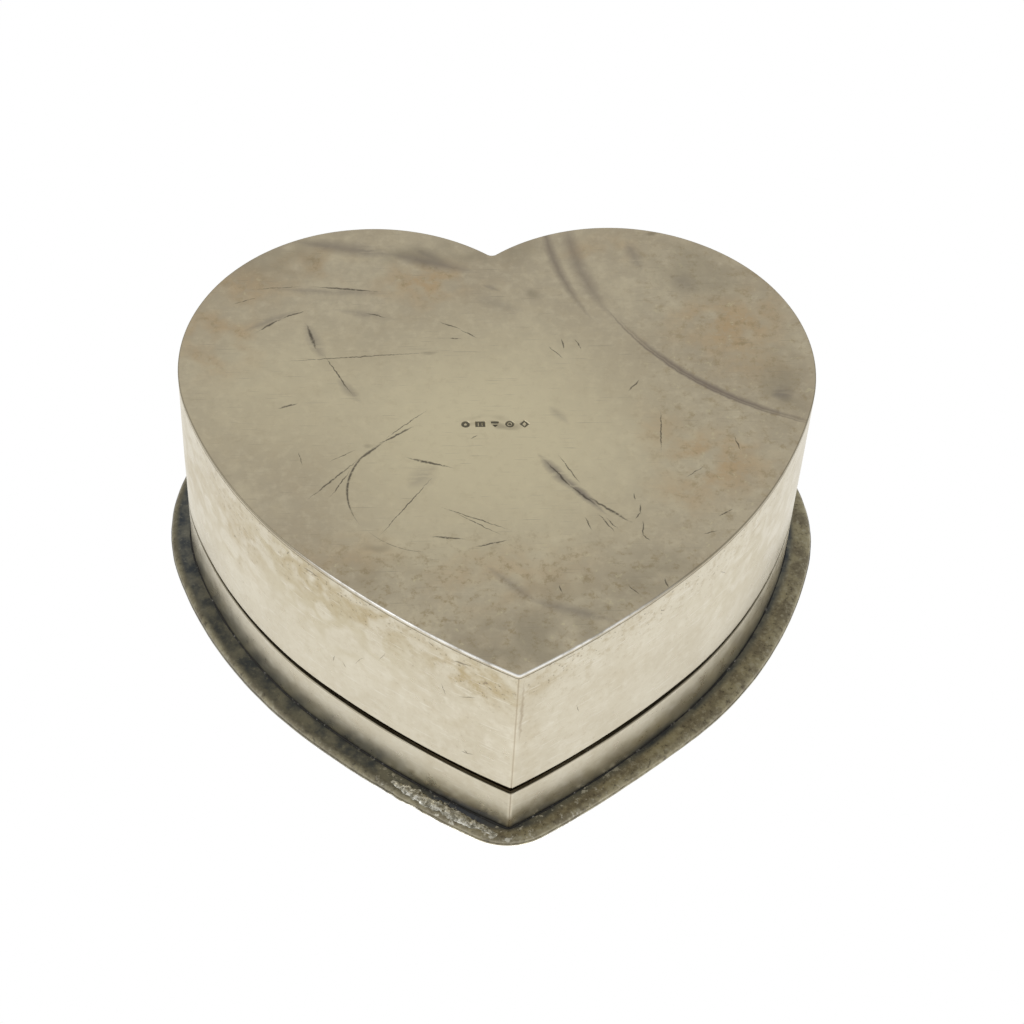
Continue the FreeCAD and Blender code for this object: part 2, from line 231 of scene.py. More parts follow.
def divided(points, closed, step):
    """The same section with its long flats cut into shorter ones."""
    ends = points[1:] + points[:1] if closed else points[1:]
    found = []
    for one, other in zip(points, ends):
        cuts = max(1, math.ceil(math.dist(one, other) / step))
        found += [tuple(a + (b - a) * k / cuts for a, b in zip(one, other)) for k in range(cuts)]
    return found if closed else found + points[-1:]


sample = rounded([(0, 0, 0.3), (0, 10, 0.1), (-0.8, 10, 0.1), (-0.8, 0, 0.1)])
print("a four-cornered section becomes", len(sample), "points")


# %% [markdown]
# ## From rings to a piece
# A Shell collects rings of points and the faces between them. It also notes for each point how far
# out it lies and how far along from the heart's point, because wear follows edges and dirt follows
# joints, and the finishes will ask for both. The notes become mesh attributes.

# %% A shell of rings
class Shell:
    def __init__(self):
        self.points, self.faces, self.out, self.along, self.deep = [], [], [], [], []

    def ring(self, places, out, along):
        """Adds points and returns their numbers."""
        first = len(self.points)
        self.points += places
        self.out += [out] * len(places)
        self.along += along
        self.deep += [0.0] * len(places)
        return list(range(first, len(self.points)))

    def bridge(self, one, other, closed=True):
        """Joins two rings of the same length with four-sided faces."""
        last = len(one) if closed else len(one) - 1
        for k in range(last):
            after = (k + 1) % len(one)
            self.faces.append((one[k], one[after], other[after], other[k]))

    def piece(self, name, dents=0.0, wave=12.0, sharp=50):
        """Makes the object, with gentle dents along its normals."""
        mesh = bpy.data.meshes.new(name)
        mesh.from_pydata([Vector(p) * MM for p in self.points], [], self.faces)
        for label, numbers in (("out_mm", self.out), ("along_mm", self.along), ("deep", self.deep)):
            mesh.attributes.new(label, "FLOAT", "POINT").data.foreach_set("value", numbers)
        shape = bmesh.new()
        shape.from_mesh(mesh)
        bmesh.ops.remove_doubles(shape, verts=shape.verts, dist=0.00001 * MM)
        bmesh.ops.recalc_face_normals(shape, faces=shape.faces)
        shape.normal_update()
        moves = [v.normal * hammering(v.co / MM, dents, wave) * MM for v in shape.verts]
        for vertex, move in zip(shape.verts, moves):
            vertex.co += move
        shape.to_mesh(mesh)
        shape.free()
        mesh.shade_smooth()
        mesh.set_sharp_from_angle(angle=math.radians(sharp))
        made = bpy.data.objects.new(name, mesh)
        bpy.context.scene.collection.objects.link(made)
        return made


def hammering(place, depth, wave):
    """Soft ups and downs of worked sheet, never more than the depth given."""
    if depth == 0:
        return 0.0
    broad = noise.noise(Vector(place) / wave)
    fine = noise.noise(Vector(place) / (wave * 0.37) + Vector((7, 3, 5)))
    return depth * (0.75 * broad + 0.25 * fine)


print("shells are ready")


# %% [markdown]
# ## Bands
# A wall, a bezel or a skirt is a strip of sheet bent along one half of the heart and mitred to its
# twin at the point and in the cleft. Two halves are how the smith makes it, so two pieces are what
# is built, each with its own mitred ends.

# %% Sweep a section along one half of the heart
def band(name, side, section, lift=None, dents=0.02):
    """A half band. Side is 1 for x above zero and -1 for its mirror image."""
    shell, rings = Shell(), []
    for out, height in section:
        line = heart_half(out, max(0.04, POINT_ROUND + out), max(0.3, CLEFT_ROUND - out))
        heights = [lift(y, height) if lift else height for x, y in line]
        places = [(side * x, y, z) for (x, y), z in zip(line, heights)]
        rings.append(shell.ring(places, out, [side * d for d in ALONG_HALF]))
    for one, other in zip(rings, rings[1:] + rings[:1]):
        shell.bridge(one, other, closed=False)
    shell.faces.append(tuple(ring[0] for ring in rings))
    shell.faces.append(tuple(ring[-1] for ring in reversed(rings)))
    return shell.piece(name, dents)


def finish_piece(piece, body, slot, *nodes):
    """Says what the piece rides on and which CAD nodes it stands for. The finish slot is not used."""
    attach(piece, body)
    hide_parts(*nodes)
    print(f"{piece.name}: {len(piece.data.polygons)} faces on {body}")
    return piece


print("bands can be swept in two mitred halves")


# %% [markdown]
# ## The walls
# The wall is one tall strip, about twenty-three millimetres high. Its lower edge is soldered to
# the base plate, and its upper edge is what the lid closes on. A faint belly from hammering and
# planishing makes its reflections swim a little, and that is what tells the eye that it is sheet.

# %% Walls
WALL_THICK = 0.8
wall_section = rounded([
    (0, base_top, 0.06),
    (0, wall_top, 0.12),
    (-WALL_THICK, wall_top, 0.06),
    (-WALL_THICK, base_top, 0.06),
])
walls = []
for side, label in ((-1, "wall_left"), (1, "wall_right")):
    wall = band("box_" + label, side, wall_section, dents=0.05)
    walls.append(finish_piece(wall, "box", "wall_silver", label))

# %% [markdown]
# ## The bezel
# A thinner band inside the wall stands two millimetres proud of it. The lid's skirt slips over it,
# so it keeps the lid in place and hides the closing line. It is the part that was gilded.

# %% Bezels
BEZEL_THICK = 0.6
bezel_out = -WALL_THICK
bezel_section = rounded([
    (bezel_out, bezel_low, 0.05),
    (bezel_out, bezel_top, 0.22),
    (bezel_out - BEZEL_THICK, bezel_top, 0.22),
    (bezel_out - BEZEL_THICK, bezel_low, 0.2),
])
bezels = []
for side, label in ((-1, "bezel_left"), (1, "bezel_right")):
    bezel = band("gilt_" + label, side, bezel_section)
    bezels.append(finish_piece(bezel, "box", "bezel_gilt", label))

# %% [markdown]
# ## The lid's skirt
# The skirt is cut slightly out of true, so the closed box shows a hair line at the back and a gap
# of more than a millimetre at the point. The section is drawn once and leaned with a function that
# lifts its lower edge by how far forward it is.

# %% Skirts
SKIRT_THICK = 0.6
skirt_front = lid_seat - skirt_back
LEAN = 0.0165  # millimetres of rise for each millimetre forward


def skirt_lift(y, height):
    """Height of a skirt point: the lower edge rises towards the point of the heart."""
    edge = skirt_back + LEAN * (hinge_axis.y - y)
    return edge + (height - skirt_back) * (lid_seat - edge) / skirt_front


skirt_section = rounded([
    (0, skirt_back, 0.16),
    (0, lid_seat, 0.03),
    (-SKIRT_THICK, lid_seat, 0.03),
    (-SKIRT_THICK, skirt_back, 0.1),
], step=1.0)
skirts = []
for side, label in ((-1, "lid_skirt_left"), (1, "lid_skirt_right")):
    skirt = band(label.replace("lid_", "lid_band_"), side, skirt_section, skirt_lift, dents=0.03)
    skirts.append(finish_piece(skirt, "lid", "wall_silver", label))
print(f"the lower edge rises {skirt_lift(WALL_LINE[0][1], skirt_back) - wall_top:.2f} mm at the point")


# %% [markdown]
# ## Filling a heart
# A flat plate could be one big face, but then it could hold no dents. Here the middle is a small
# rectangle of square cells, and rings run out from it to the heart. The rectangle has exactly as
# many boundary points as an outline has stations, so every face has four sides and there is no
# star of thin triangles in the middle. Small cells are used where the smith's punches have to fit.

# %% A rectangle that opens out into a heart
CELLS_ACROSS = 74
CELLS_UP = sum(STATIONS) - 2 * CELLS_ACROSS
MIDDLE_Y = 1.5
DEEP_INSIDE = -20.0  # how far out the middle of a plate is said to lie
CROWDING = 1.5  # rings lie closer together towards the middle


def fill_heart(shell, outer, height, cell, rings=34, depth=None):
    """Closes a ring of the shell with a flat face, and sinks it where depth says so."""
    rows = []
    for row in range(CELLS_UP + 1):
        y = MIDDLE_Y + (row - CELLS_UP / 2) * cell
        xs = [column * cell for column in range(-CELLS_ACROSS, CELLS_ACROSS + 1)]
        sinks = [depth(x, y) if depth else 0.0 for x in xs]
        numbers = shell.ring([(x, y, height + s) for x, s in zip(xs, sinks)], DEEP_INSIDE, xs)
        for number, sink in zip(numbers, sinks):
            shell.deep[number] = sink
        rows.append(numbers)
    for one, other in zip(rows, rows[1:]):
        shell.bridge(one, other, closed=False)
    middle = CELLS_ACROSS
    edge = rows[0][middle:] + [row[-1] for row in rows[1:-1]]
    edge += rows[-1][::-1] + [row[0] for row in rows[-2:0:-1]] + rows[0][:middle]
    inner, ring = [shell.points[n] for n in edge], edge
    border = [shell.points[n] for n in outer]
    for step in range(1, rings):
        share = (step / rings) ** CROWDING
        places = [
            (a[0] + (b[0] - a[0]) * share, a[1] + (b[1] - a[1]) * share, height)
            for a, b in zip(inner, border)
        ]
        wider = shell.ring(places, DEEP_INSIDE * (1 - share), ALONG_RING)
        shell.bridge(ring, wider)
        ring = wider
    shell.bridge(ring, outer)


def heart_plate(section, tip_of, notch_of, top_cell, under_cell, depth=None):
    """Rings for a plate from an open section that runs from its upper to its lower face."""
    shell, rings = Shell(), []
    for out, height in section:
        line = whole(heart_half(out, tip_of(out), notch_of(out)))
        rings.append(shell.ring([(x, y, height) for x, y in line], out, ALONG_RING))
    for one, other in zip(rings, rings[1:]):
        shell.bridge(one, other)
    fill_heart(shell, rings[0], section[0][1], top_cell)
    fill_heart(shell, rings[-1], section[-1][1], under_cell, depth=depth)
    return shell


print(f"the middle has {2 * CELLS_ACROSS} by {CELLS_UP} cells")

# %% [markdown]
# ## The punched marks
# A row of small punches was struck into the underside. Real marks name a maker, so these are
# plain figures that name nobody: a lozenge, a ring, a shield, an oblong with two bars and a disc
# with a dot. Each has its raised figure on a sunk floor. They are real hollows in the mesh, about a
# sixth of a millimetre deep. A bump would be quicker to draw, but it moves no points, so it would
# be missing from the exported mesh.

# %% How deep the punches go
PUNCH_DEEP = 0.17
PUNCH_HALF = 0.56
PUNCH_STEP = 1.9
PUNCH_FIRST = -2.8
PUNCH_SLANT = 0.1  # width of the sloping side of a mark
FIGURE_SLANT = 0.06  # width of the sloping side of its raised figure
FIGURE_RISE = 0.75  # how much of the depth the figure stands up


def punch_shapes(x, y):
    """For each punch: how far inside its border a place is, and how far inside its figure."""
    wide = PUNCH_HALF * 1.25
    centres = [PUNCH_FIRST + PUNCH_STEP * k for k in range(5)]
    ax = [abs(x - c) for c in centres]
    ay = abs(y - MIDDLE_Y)
    round_2 = math.hypot(x - centres[1], y - MIDDLE_Y)
    round_5 = math.hypot(x - centres[4], y - MIDDLE_Y)
    yield wide - ax[0] - ay, 0.2 - ax[0] * 0.6 - ay * 0.4
    yield PUNCH_HALF * 1.1 - round_2, 0.1 - abs(round_2 - 0.27)
    yield PUNCH_HALF - max(ax[2], ay + 0.9 * ax[2] * (y < MIDDLE_Y)), 0.13 - ay + 0.12 * ax[2]
    yield PUNCH_HALF - max(ax[3] * 0.8, ay), min(0.09 - abs(ax[3] - 0.25), 0.35 - ay)
    yield PUNCH_HALF * 1.1 - round_5, 0.22 - round_5


def punch_depth(x, y):
    """Depth of the struck marks at a place on the underside."""
    found = 0.0
    for inside, figure in punch_shapes(x, y):
        if inside > 0:
            floor = min(1.0, inside / PUNCH_SLANT)
            raised = min(1.0, max(0.0, figure / FIGURE_SLANT))
            found = max(found, PUNCH_DEEP * (floor - FIGURE_RISE * raised))
    return found


print(f"deepest punch {max(punch_depth(k / 10, MIDDLE_Y) for k in range(-60, 61)):.2f} mm")

# %% [markdown]
# ## The base plate
# The plate is a flat heart of sheet as wide as the walls, soldered under them. Its lower edge has
# been polished away by being slid over tables. Near the point that soft edge is bare and catches
# the light as a thin white line. Further round the edge is painted darker.

# %% Base plate
PLATE_EDGE = 0.16
PLATE_MARGIN = 2.4  # the border that is drawn as a section before the filling starts
FILL_POINT_ROUND = 1.0
COARSE_CELL = 0.25
PUNCH_CELL = 0.08


def plate_tip(out):
    return max(0.04, POINT_ROUND + out) if out > -PLATE_MARGIN else FILL_POINT_ROUND


def plate_notch(out):
    return max(0.3, CLEFT_ROUND - out)


plate_section = rounded([
    (-PLATE_MARGIN, base_top, 0),
    (0, base_top, 0.07),
    (0, 0.0, PLATE_EDGE),
    (-PLATE_MARGIN, 0.0, 0),
], closed=False, bends=7)
plate = heart_plate(plate_section, plate_tip, plate_notch, COARSE_CELL, PUNCH_CELL, punch_depth)
base_piece = finish_piece(plate.piece("underside_plate", dents=0.03), "box", "base_silver", "base_plate")

# %% [markdown]
# ## The lid's top
# The top is one thick plate that hangs over the skirt all round like an eave. Its point is far
# rounder than the wall's. A low raised panel with a soft shoulder stiffens it, and the hollow of
# that panel shows inside the lid. The eave has been knocked about beside the point, so its rim is
# allowed to wander there, and along one flank it bulges a little way out.

# %% Lid top
PANEL_INSET = 4.6
PANEL_RISE = 0.9
PANEL_THICK = 0.8
LID_POINT_ROUND = 8.5
PANEL_POINT_ROUND = 5.0
LID_CLEFT_ROUND = 1.6
LID_MARGIN = 9.5  # the border that is drawn as a section before the filling starts
EAVE_FREE = 1.0  # how far out the eave starts to give way to knocks
KNOCK_AT, KNOCK_REACH = 10.0, 7.0
BULGE_AT, BULGE_REACH, BULGE_OUT = -52.0, 26.0, 0.85
rim_top = lid_height - PANEL_RISE
hollow_out = -PANEL_INSET - PANEL_THICK


def lid_tip(out):
    share = min(1.0, max(0.0, (out + PANEL_INSET) / (overhang + PANEL_INSET)))
    return PANEL_POINT_ROUND + (LID_POINT_ROUND - PANEL_POINT_ROUND) * share


def lid_notch(out):
    return LID_CLEFT_ROUND + overhang - out


lid_section = rounded([
    (-LID_MARGIN, lid_height, 0),
    (-PANEL_INSET, lid_height, 0.75),
    (-PANEL_INSET, rim_top, 0.1),
    (overhang, rim_top, 0.35),
    (overhang, lid_seat, 0.85),
    (hollow_out, lid_seat, 0.3),
    (hollow_out, lid_height - PANEL_THICK, 0.4),
    (-LID_MARGIN, lid_height - PANEL_THICK, 0),
], closed=False, step=1.0, bends=7)
lid = heart_plate(lid_section, lid_tip, lid_notch, COARSE_CELL, COARSE_CELL)


def knocks(out, along, place):
    """How far the rim is pushed sideways, in millimetres."""
    if out < EAVE_FREE:
        return 0.0
    near = math.exp(-((along - KNOCK_AT) / KNOCK_REACH) ** 2)
    broad = noise.noise(Vector((along * 0.35, 2.0, 0.0)))
    small = noise.noise(Vector((along * 1.1, 9.0, place[2])))
    wider = BULGE_OUT * math.exp(-((along - BULGE_AT) / BULGE_REACH) ** 4)
    give = (out - EAVE_FREE) / (overhang - EAVE_FREE)
    return give * (wider + 0.05 * broad + near * (0.16 * small + 0.1 * broad))


for number, place in enumerate(lid.points):
    push = knocks(lid.out[number], lid.along[number], place)
    away = Vector((place[0], place[1] - MIDDLE_Y, 0)).normalized()
    outwards = away if place[0] else Vector((0, -1, 0))
    lid.points[number] = tuple(Vector(place) + outwards * push)
lid_piece = finish_piece(lid.piece("lid_plate", dents=0.04), "lid", "lid_silver", "lid_top")

# %% [markdown]
# ## Solder
# Where the skirt meets the eave the smith ran a fillet of solder. It is never even: it swells,
# starves and pits, and beside the point of this lid a flood of it has set in lumps along the eave.
# Both are small sections carried along the wall line, with their size changed at every step by
# smooth noise from a fixed place, so that they come out the same each time.


# %% Carry a changing section along the wall line
def walk(first, last, step, out):
    """Places and outward directions along the heart; distances below zero are its left half."""
    half = heart_half(out, max(0.04, POINT_ROUND + out), CLEFT_ROUND)
    reach = distances(half)
    count = math.ceil((last - first) / step)
    for k in range(count + 1):
        distance = first + (last - first) * k / count
        far = min(abs(distance), reach[-1] - 0.001)
        after = next(i for i, d in enumerate(reach) if d > far)
        share = (far - reach[after - 1]) / (reach[after] - reach[after - 1])
        (ax, ay), (bx, by) = half[after - 1], half[after]
        side = -1 if distance < 0 else 1
        length = math.hypot(bx - ax, by - ay)
        normal = (side * (by - ay) / length, -(bx - ax) / length)
        yield distance, (side * (ax + (bx - ax) * share), ay + (by - ay) * share), normal


def run_of(name, first, last, step, out, section_at, dents=0.0):
    """A run of metal whose section, (outwards, height) points, changes along the way."""
    shell, rings = Shell(), []
    for distance, (x, y), (nx, ny) in walk(first, last, step, out):
        section = section_at(distance)
        places = [(x + nx * g, y + ny * g, z) for g, z in section]
        rings.append(shell.ring(places, out, [distance] * len(places)))
    for one, other in zip(rings, rings[1:]):
        shell.bridge(one, other)
    shell.faces.append(tuple(rings[0]))
    shell.faces.append(tuple(reversed(rings[-1])))
    return shell.piece(name, dents)


FILLET_LEAST, FILLET_SWELL, FILLET_PIT = 0.12, 0.16, 0.08
FILLET_SUNK = 0.08  # how far the fillet is buried in the skirt
CLEFT_CLEAR = 3.5  # the hinge leaves no room for solder nearer the cleft


def fillet_section(distance):
    """A hollow-faced fillet under the eave, from a hair to a third of a millimetre."""
    swell = noise.noise(Vector((distance * 0.22, 0, 0))) * 0.5 + 0.5
    pit = noise.noise(Vector((distance * 1.7, 5, 0)))
    size = FILLET_LEAST + FILLET_SWELL * swell + FILLET_PIT * pit
    arc = [(size * (1 - math.sin(a)), lid_seat - size * (1 - math.cos(a)))
           for a in (math.pi / 2 * k / 5 for k in range(6))]
    return [(-FILLET_SUNK, lid_seat + 0.04)] + [(-FILLET_SUNK, lid_seat - size)] + arc[::-1]


reach = ALONG_HALF[-1]
fillet = run_of("eave_solder", -reach + CLEFT_CLEAR, reach - CLEFT_CLEAR, 0.4, 0.0, fillet_section)
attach(fillet, "lid")
print("fillet of solder:", len(fillet.data.polygons), "faces")

# %% [markdown]
# Beside the point the solder ran out over the eave and set in lumps. It could be a patch of colour,
# but light has to catch its lumps from every side, so it is a ridge of its own.

# %% The flood of solder
FLOOD_FROM, FLOOD_TO = 0.8, 16.5
FLOOD_FADE_IN, FLOOD_FADE_OUT = 5.0, 3.0


def flood_section(distance):
    """A lumpy ridge that fades away at both ends."""
    rising, falling = (distance - FLOOD_FROM) / FLOOD_FADE_IN, (FLOOD_TO - distance) / FLOOD_FADE_OUT
    fade = max(0.0, min(1.0, rising, falling))
    lump = noise.noise(Vector((distance * 1.3, 0, 3)))
    grain = noise.noise(Vector((distance * 4.0, 1, 3)))
    high_up = 0.05 + fade * (0.26 + 0.2 * lump + 0.1 * grain)
    middle = 1.5 + 0.3 * noise.noise(Vector((distance * 0.5, 4, 0)))
    wide = 0.25 + 0.55 * fade * (1 + 0.7 * lump)
    points = []
    for k in range(13):
        a = math.pi * k / 12
        rough = 1 + 0.6 * noise.noise(Vector((distance * 2.3, a * 2.2, 8)))
        points.append((middle - wide * math.cos(a), lid_seat + 0.03 - high_up * rough * math.sin(a)))
    return points


flood = run_of("point_solder_flood", FLOOD_FROM, FLOOD_TO, 0.12, 0.0, flood_section)
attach(flood, "lid")
print("flood of solder:", len(flood.data.polygons), "faces")

# %% [markdown]
# ## The hinge
# Five short tubes on one pin sit in the cleft, three on the box and two on the lid. Box and lid
# each have one leaf, which fills the space between the lobes and carries the tubes. The CAD leaves
# are plain plates and stay as they are. Each tube is turned from a section round the pin's axis,
# with eased ends.


# %% Turn a section round the hinge axis
def turned(name, section, body, slot, *nodes, turns=56):
    """A ring round the hinge pin. The section holds (place along the pin, radius)."""
    shell, rings = Shell(), []
    for k in range(turns):
        a = 2 * math.pi * k / turns
        places = [(x, hinge_axis.y + r * math.cos(a), hinge_axis.z + r * math.sin(a))
                  for x, r in section]
        rings.append(shell.ring(places, 0.0, [x for x, r in section]))
    for one, other in zip(rings, rings[1:] + rings[:1]):
        shell.bridge(one, other)
    return finish_piece(shell.piece(name), body, slot, *nodes)


BORE_RADIUS = 0.65
BORE_EASE = 0.05
KNUCKLE_EASE = 0.16
hinge_pieces = []
for node, body in (
    ("box_knuckle_left", "box"), ("box_knuckle_middle", "box"), ("box_knuckle_right", "box"),
    ("lid_knuckle_left", "lid"), ("lid_knuckle_right", "lid"),
):
    start, end = low(node).x, high(node).x
    outer = high("box_knuckle_middle").z - hinge_axis.z
    tube = rounded([
        (start, BORE_RADIUS, BORE_EASE), (start, outer, KNUCKLE_EASE),
        (end, outer, KNUCKLE_EASE), (end, BORE_RADIUS, BORE_EASE),
    ], step=2.0, guard=0.1)
    hinge_pieces.append(turned(node.replace("knuckle", "hinge_tube"), tube, body, "hinge_silver", node))

# %% [markdown]
# The pin is a plain wire with eased ends. Each plug is a stub that fills the end of the tube and
# stands a little proud, closed by a low dome. Their sections touch the axis, so the shell's doubled
# points there are merged when the piece is made.

# %% Pin and plugs
PIN_EASE = 0.1
PLUG_EASE = 0.05
DOME_EASE = 0.28
pin_start, pin_end = low("hinge_pin").x, high("hinge_pin").x
pin_radius = high("hinge_pin").z - hinge_axis.z
pin_section = [(pin_start, 0.0)] + rounded([
    (pin_start, 0.0, 0), (pin_start, pin_radius, PIN_EASE),
    (pin_end, pin_radius, PIN_EASE), (pin_end, 0.0, 0),
], closed=False, step=3.0, guard=0.05)[1:]
hinge_pieces.append(turned("hinge_wire", pin_section, "box", "pin_silver", "hinge_pin", turns=32))
for node, outward in (("hinge_plug_left", -1), ("hinge_plug_right", 1)):
    inner = high(node).x if outward < 0 else low(node).x
    tip = low(node).x if outward < 0 else high(node).x
    plug_radius = high(node).z - hinge_axis.z
    plug_section = rounded([
        (inner, 0.0, 0), (inner, plug_radius, PLUG_EASE), (tip, plug_radius, DOME_EASE), (tip, 0.0, 0),
    ], closed=False, step=0.5, guard=0.05)
    hinge_pieces.append(turned(node.replace("hinge_", "domed_"), plug_section, "box", "hinge_silver", node))
leaves = [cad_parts["box_leaf"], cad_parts["lid_leaf"]]
print(len(hinge_pieces), "turned hinge pieces and", len(leaves), "leaves")

# %% [markdown]
# ## Talking to nodes
# The finishes are built from shader nodes. These few helpers keep the recipes readable: one adds a
# node and fills its inputs, whether with a number, a colour or another node's output.


# %% Node helpers
def feed(tree, socket, source):
    """Puts a value or another node's output into an input."""
    if isinstance(source, bpy.types.NodeSocket):
        tree.links.new(source, socket)
    else:
        socket.default_value = source


def sums(tree, operation, *values, clamp=False):
    node = tree.nodes.new("ShaderNodeMath")
    node.operation, node.use_clamp = operation, clamp
    for socket, source in zip(node.inputs, values):
        feed(tree, socket, source)
    return node.outputs[0]


def vectors(tree, operation, one, other=None, output=0, scale=None):
    node = tree.nodes.new("ShaderNodeVectorMath")
    node.operation = operation
    feed(tree, node.inputs[0], one)
    if other is not None:
        feed(tree, node.inputs[1], other)
    if scale is not None:
        feed(tree, node.inputs["Scale"], scale)
    return node.outputs[output]


def ease(tree, source, low_end, high_end, start=0.0, end=1.0):
    """A soft step from start to end as the source goes from one end to the other."""
    node = tree.nodes.new("ShaderNodeMapRange")
    node.interpolation_type = "SMOOTHSTEP"
    for label, given in (("Value", source), ("From Min", low_end), ("From Max", high_end),
                         ("To Min", start), ("To Max", end)):
        feed(tree, node.inputs[label], given)
    return node.outputs[0]


def clouds(tree, place, scale, detail=4.0, roughness=0.55, output=0):
    node = tree.nodes.new("ShaderNodeTexNoise")
    for label, given in (("Vector", place), ("Scale", scale), ("Detail", detail),
                         ("Roughness", roughness)):
        feed(tree, node.inputs[label], given)
    return node.outputs[output]


def colours(tree, share, one, other, way="MIX"):
    node = tree.nodes.new("ShaderNodeMix")
    node.data_type, node.blend_type, node.clamp_factor = "RGBA", way, True
    feed(tree, node.inputs[0], share)
    feed(tree, node.inputs[6], one)
    feed(tree, node.inputs[7], other)
    return node.outputs[2]


def attribute(tree, label):
    node = tree.nodes.new("ShaderNodeAttribute")
    node.attribute_name = label
    return node.outputs["Fac"]


def joined(tree, x, y, z=0.0):
    node = tree.nodes.new("ShaderNodeCombineXYZ")
    for socket, source in zip(node.inputs, (x, y, z)):
        feed(tree, socket, source)
    return node.outputs[0]


def parts_of(tree, vector, axes="xyz"):
    """The named parts of a vector. Each is a dot product, so nothing unused is carried along."""
    ways = {"x": (1, 0, 0), "y": (0, 1, 0), "z": (0, 0, 1)}
    found = [vectors(tree, "DOT_PRODUCT", vector, ways[axis], output=1) for axis in axes]
    return found if len(found) > 1 else found[0]


def in_mm(tree):
    """Place on the object in millimetres, which moves with the piece."""
    node = tree.nodes.new("ShaderNodeTexCoord")
    return vectors(tree, "SCALE", node.outputs["Object"], scale=1 / MM)


print("node helpers are ready")

# %% [markdown]
# ## Shared effects
# Tarnish, pits, strokes and stains turn up on more than one surface, so each is a node group with
# named inputs. A group only works out a mask. What the mask does to the metal is decided in each
# material.


# %% Groups: opening and using them
def open_group(name, inputs, output="Mask"):
    tree = bpy.data.node_groups.new(name, "ShaderNodeTree")
    for label, given in inputs:
        kind = "NodeSocketVector" if isinstance(given, tuple) else "NodeSocketFloat"
        tree.interface.new_socket(label, in_out="INPUT", socket_type=kind).default_value = given
    tree.interface.new_socket(output, in_out="OUTPUT", socket_type="NodeSocketFloat")
    return tree, tree.nodes.new("NodeGroupInput").outputs, tree.nodes.new("NodeGroupOutput").inputs


def use(tree, group, **given):
    """Places a group. Its inputs are named with _ for a space."""
    node = tree.nodes.new("ShaderNodeGroup")
    node.node_tree = group
    for label, source in given.items():
        feed(tree, node.inputs[label.replace("_", " ").capitalize()], source)
    return node.outputs[0]


print("groups can be opened and used")

# %% [markdown]
# A stroke is a scratch that fades at both ends. Two dot products measure how far along it a place
# is, from 0 to 1, and how far across it, in half widths. They need no Mapping node, whose many
# vectors would all have to be kept at once. The arc stroke does the same round a circle, and a
# stain is a soft ellipse.

# %% Groups: stroke, arc stroke and stain
STROKE, enter, leave = open_group("Stroke", [
    ("Place", (0, 0, 0)), ("Start", (0, 0, 0)), ("Lengthways", (1, 0, 0)), ("Crossways", (0, 1, 0))])
local = vectors(STROKE, "SUBTRACT", enter["Place"], enter["Start"])
run = vectors(STROKE, "DOT_PRODUCT", local, enter["Lengthways"], output=1)
across = vectors(STROKE, "DOT_PRODUCT", local, enter["Crossways"], output=1)
taper = sums(STROKE, "MULTIPLY", run, sums(STROKE, "SUBTRACT", 1.0, run))
taper = sums(STROKE, "MULTIPLY", taper, 4.5)
feed(STROKE, leave[0], sums(STROKE, "SUBTRACT", taper, sums(STROKE, "ABSOLUTE", across), clamp=True))

ARC, enter, leave = open_group("Arc stroke", [
    ("Place", (0, 0, 0)), ("Centre", (0, 0, 0)), ("Radius", 10.0), ("From", 0.0), ("Sweep", 1.0),
    ("Width", 0.2)])
arm = vectors(ARC, "SUBTRACT", enter["Place"], enter["Centre"])
off = sums(ARC, "SUBTRACT", vectors(ARC, "LENGTH", arm, output=1), enter["Radius"])
off = sums(ARC, "DIVIDE", sums(ARC, "ABSOLUTE", off), enter["Width"])
arm_x, arm_y = parts_of(ARC, arm, "xy")
run = sums(ARC, "SUBTRACT", sums(ARC, "ARCTAN2", arm_y, arm_x), enter["From"])
run = sums(ARC, "DIVIDE", run, enter["Sweep"])
taper = sums(ARC, "MULTIPLY", run, sums(ARC, "SUBTRACT", 1.0, run))
taper = sums(ARC, "MULTIPLY", taper, 4.5)
feed(ARC, leave[0], sums(ARC, "SUBTRACT", taper, off, clamp=True))

STAIN, enter, leave = open_group("Stain", [
    ("Place", (0, 0, 0)), ("Centre", (0, 0, 0)), ("Size", (1, 1, 1))])
local = vectors(STAIN, "SUBTRACT", enter["Place"], enter["Centre"])
away = vectors(STAIN, "LENGTH", vectors(STAIN, "DIVIDE", local, enter["Size"]), output=1)
feed(STAIN, leave[0], ease(STAIN, away, 1.0, 0.15))
print("groups:", STROKE.name, ARC.name, STAIN.name)

# %% [markdown]
# Tarnish comes in clouds. Fire, fingers and damp leave pits, which gather where another mask tells
# them to. Hairlines are the fine scratches of polishing and wiping: noise stretched a long way in
# one direction, cut to thin threads.

# %% Groups: tarnish, pits and hairlines
TARNISH, enter, leave = open_group("Tarnish", [
    ("Place", (0, 0, 0)), ("Scale", 0.06), ("Low", 0.38), ("High", 0.62)])
feed(TARNISH, leave[0], ease(
    TARNISH, clouds(TARNISH, enter["Place"], enter["Scale"], 6.0, 0.6), enter["Low"], enter["High"]))

PITS, enter, leave = open_group("Pits", [("Place", (0, 0, 0)), ("Scale", 1.6), ("Amount", 0.4)])
wavy = clouds(PITS, enter["Place"], 1.4, 2.0, 0.5, output=1)
bent = vectors(PITS, "ADD", enter["Place"], vectors(PITS, "SCALE", wavy, scale=0.7))
cells = PITS.nodes.new("ShaderNodeTexVoronoi")
feed(PITS, cells.inputs["Vector"], bent)
feed(PITS, cells.inputs["Scale"], enter["Scale"])
chance = parts_of(PITS, cells.outputs["Color"], "x")
chosen = sums(PITS, "LESS_THAN", chance, enter["Amount"])
spot = ease(PITS, cells.outputs["Distance"], 0.34, 0.08)
feed(PITS, leave[0], sums(PITS, "MULTIPLY", spot, chosen))

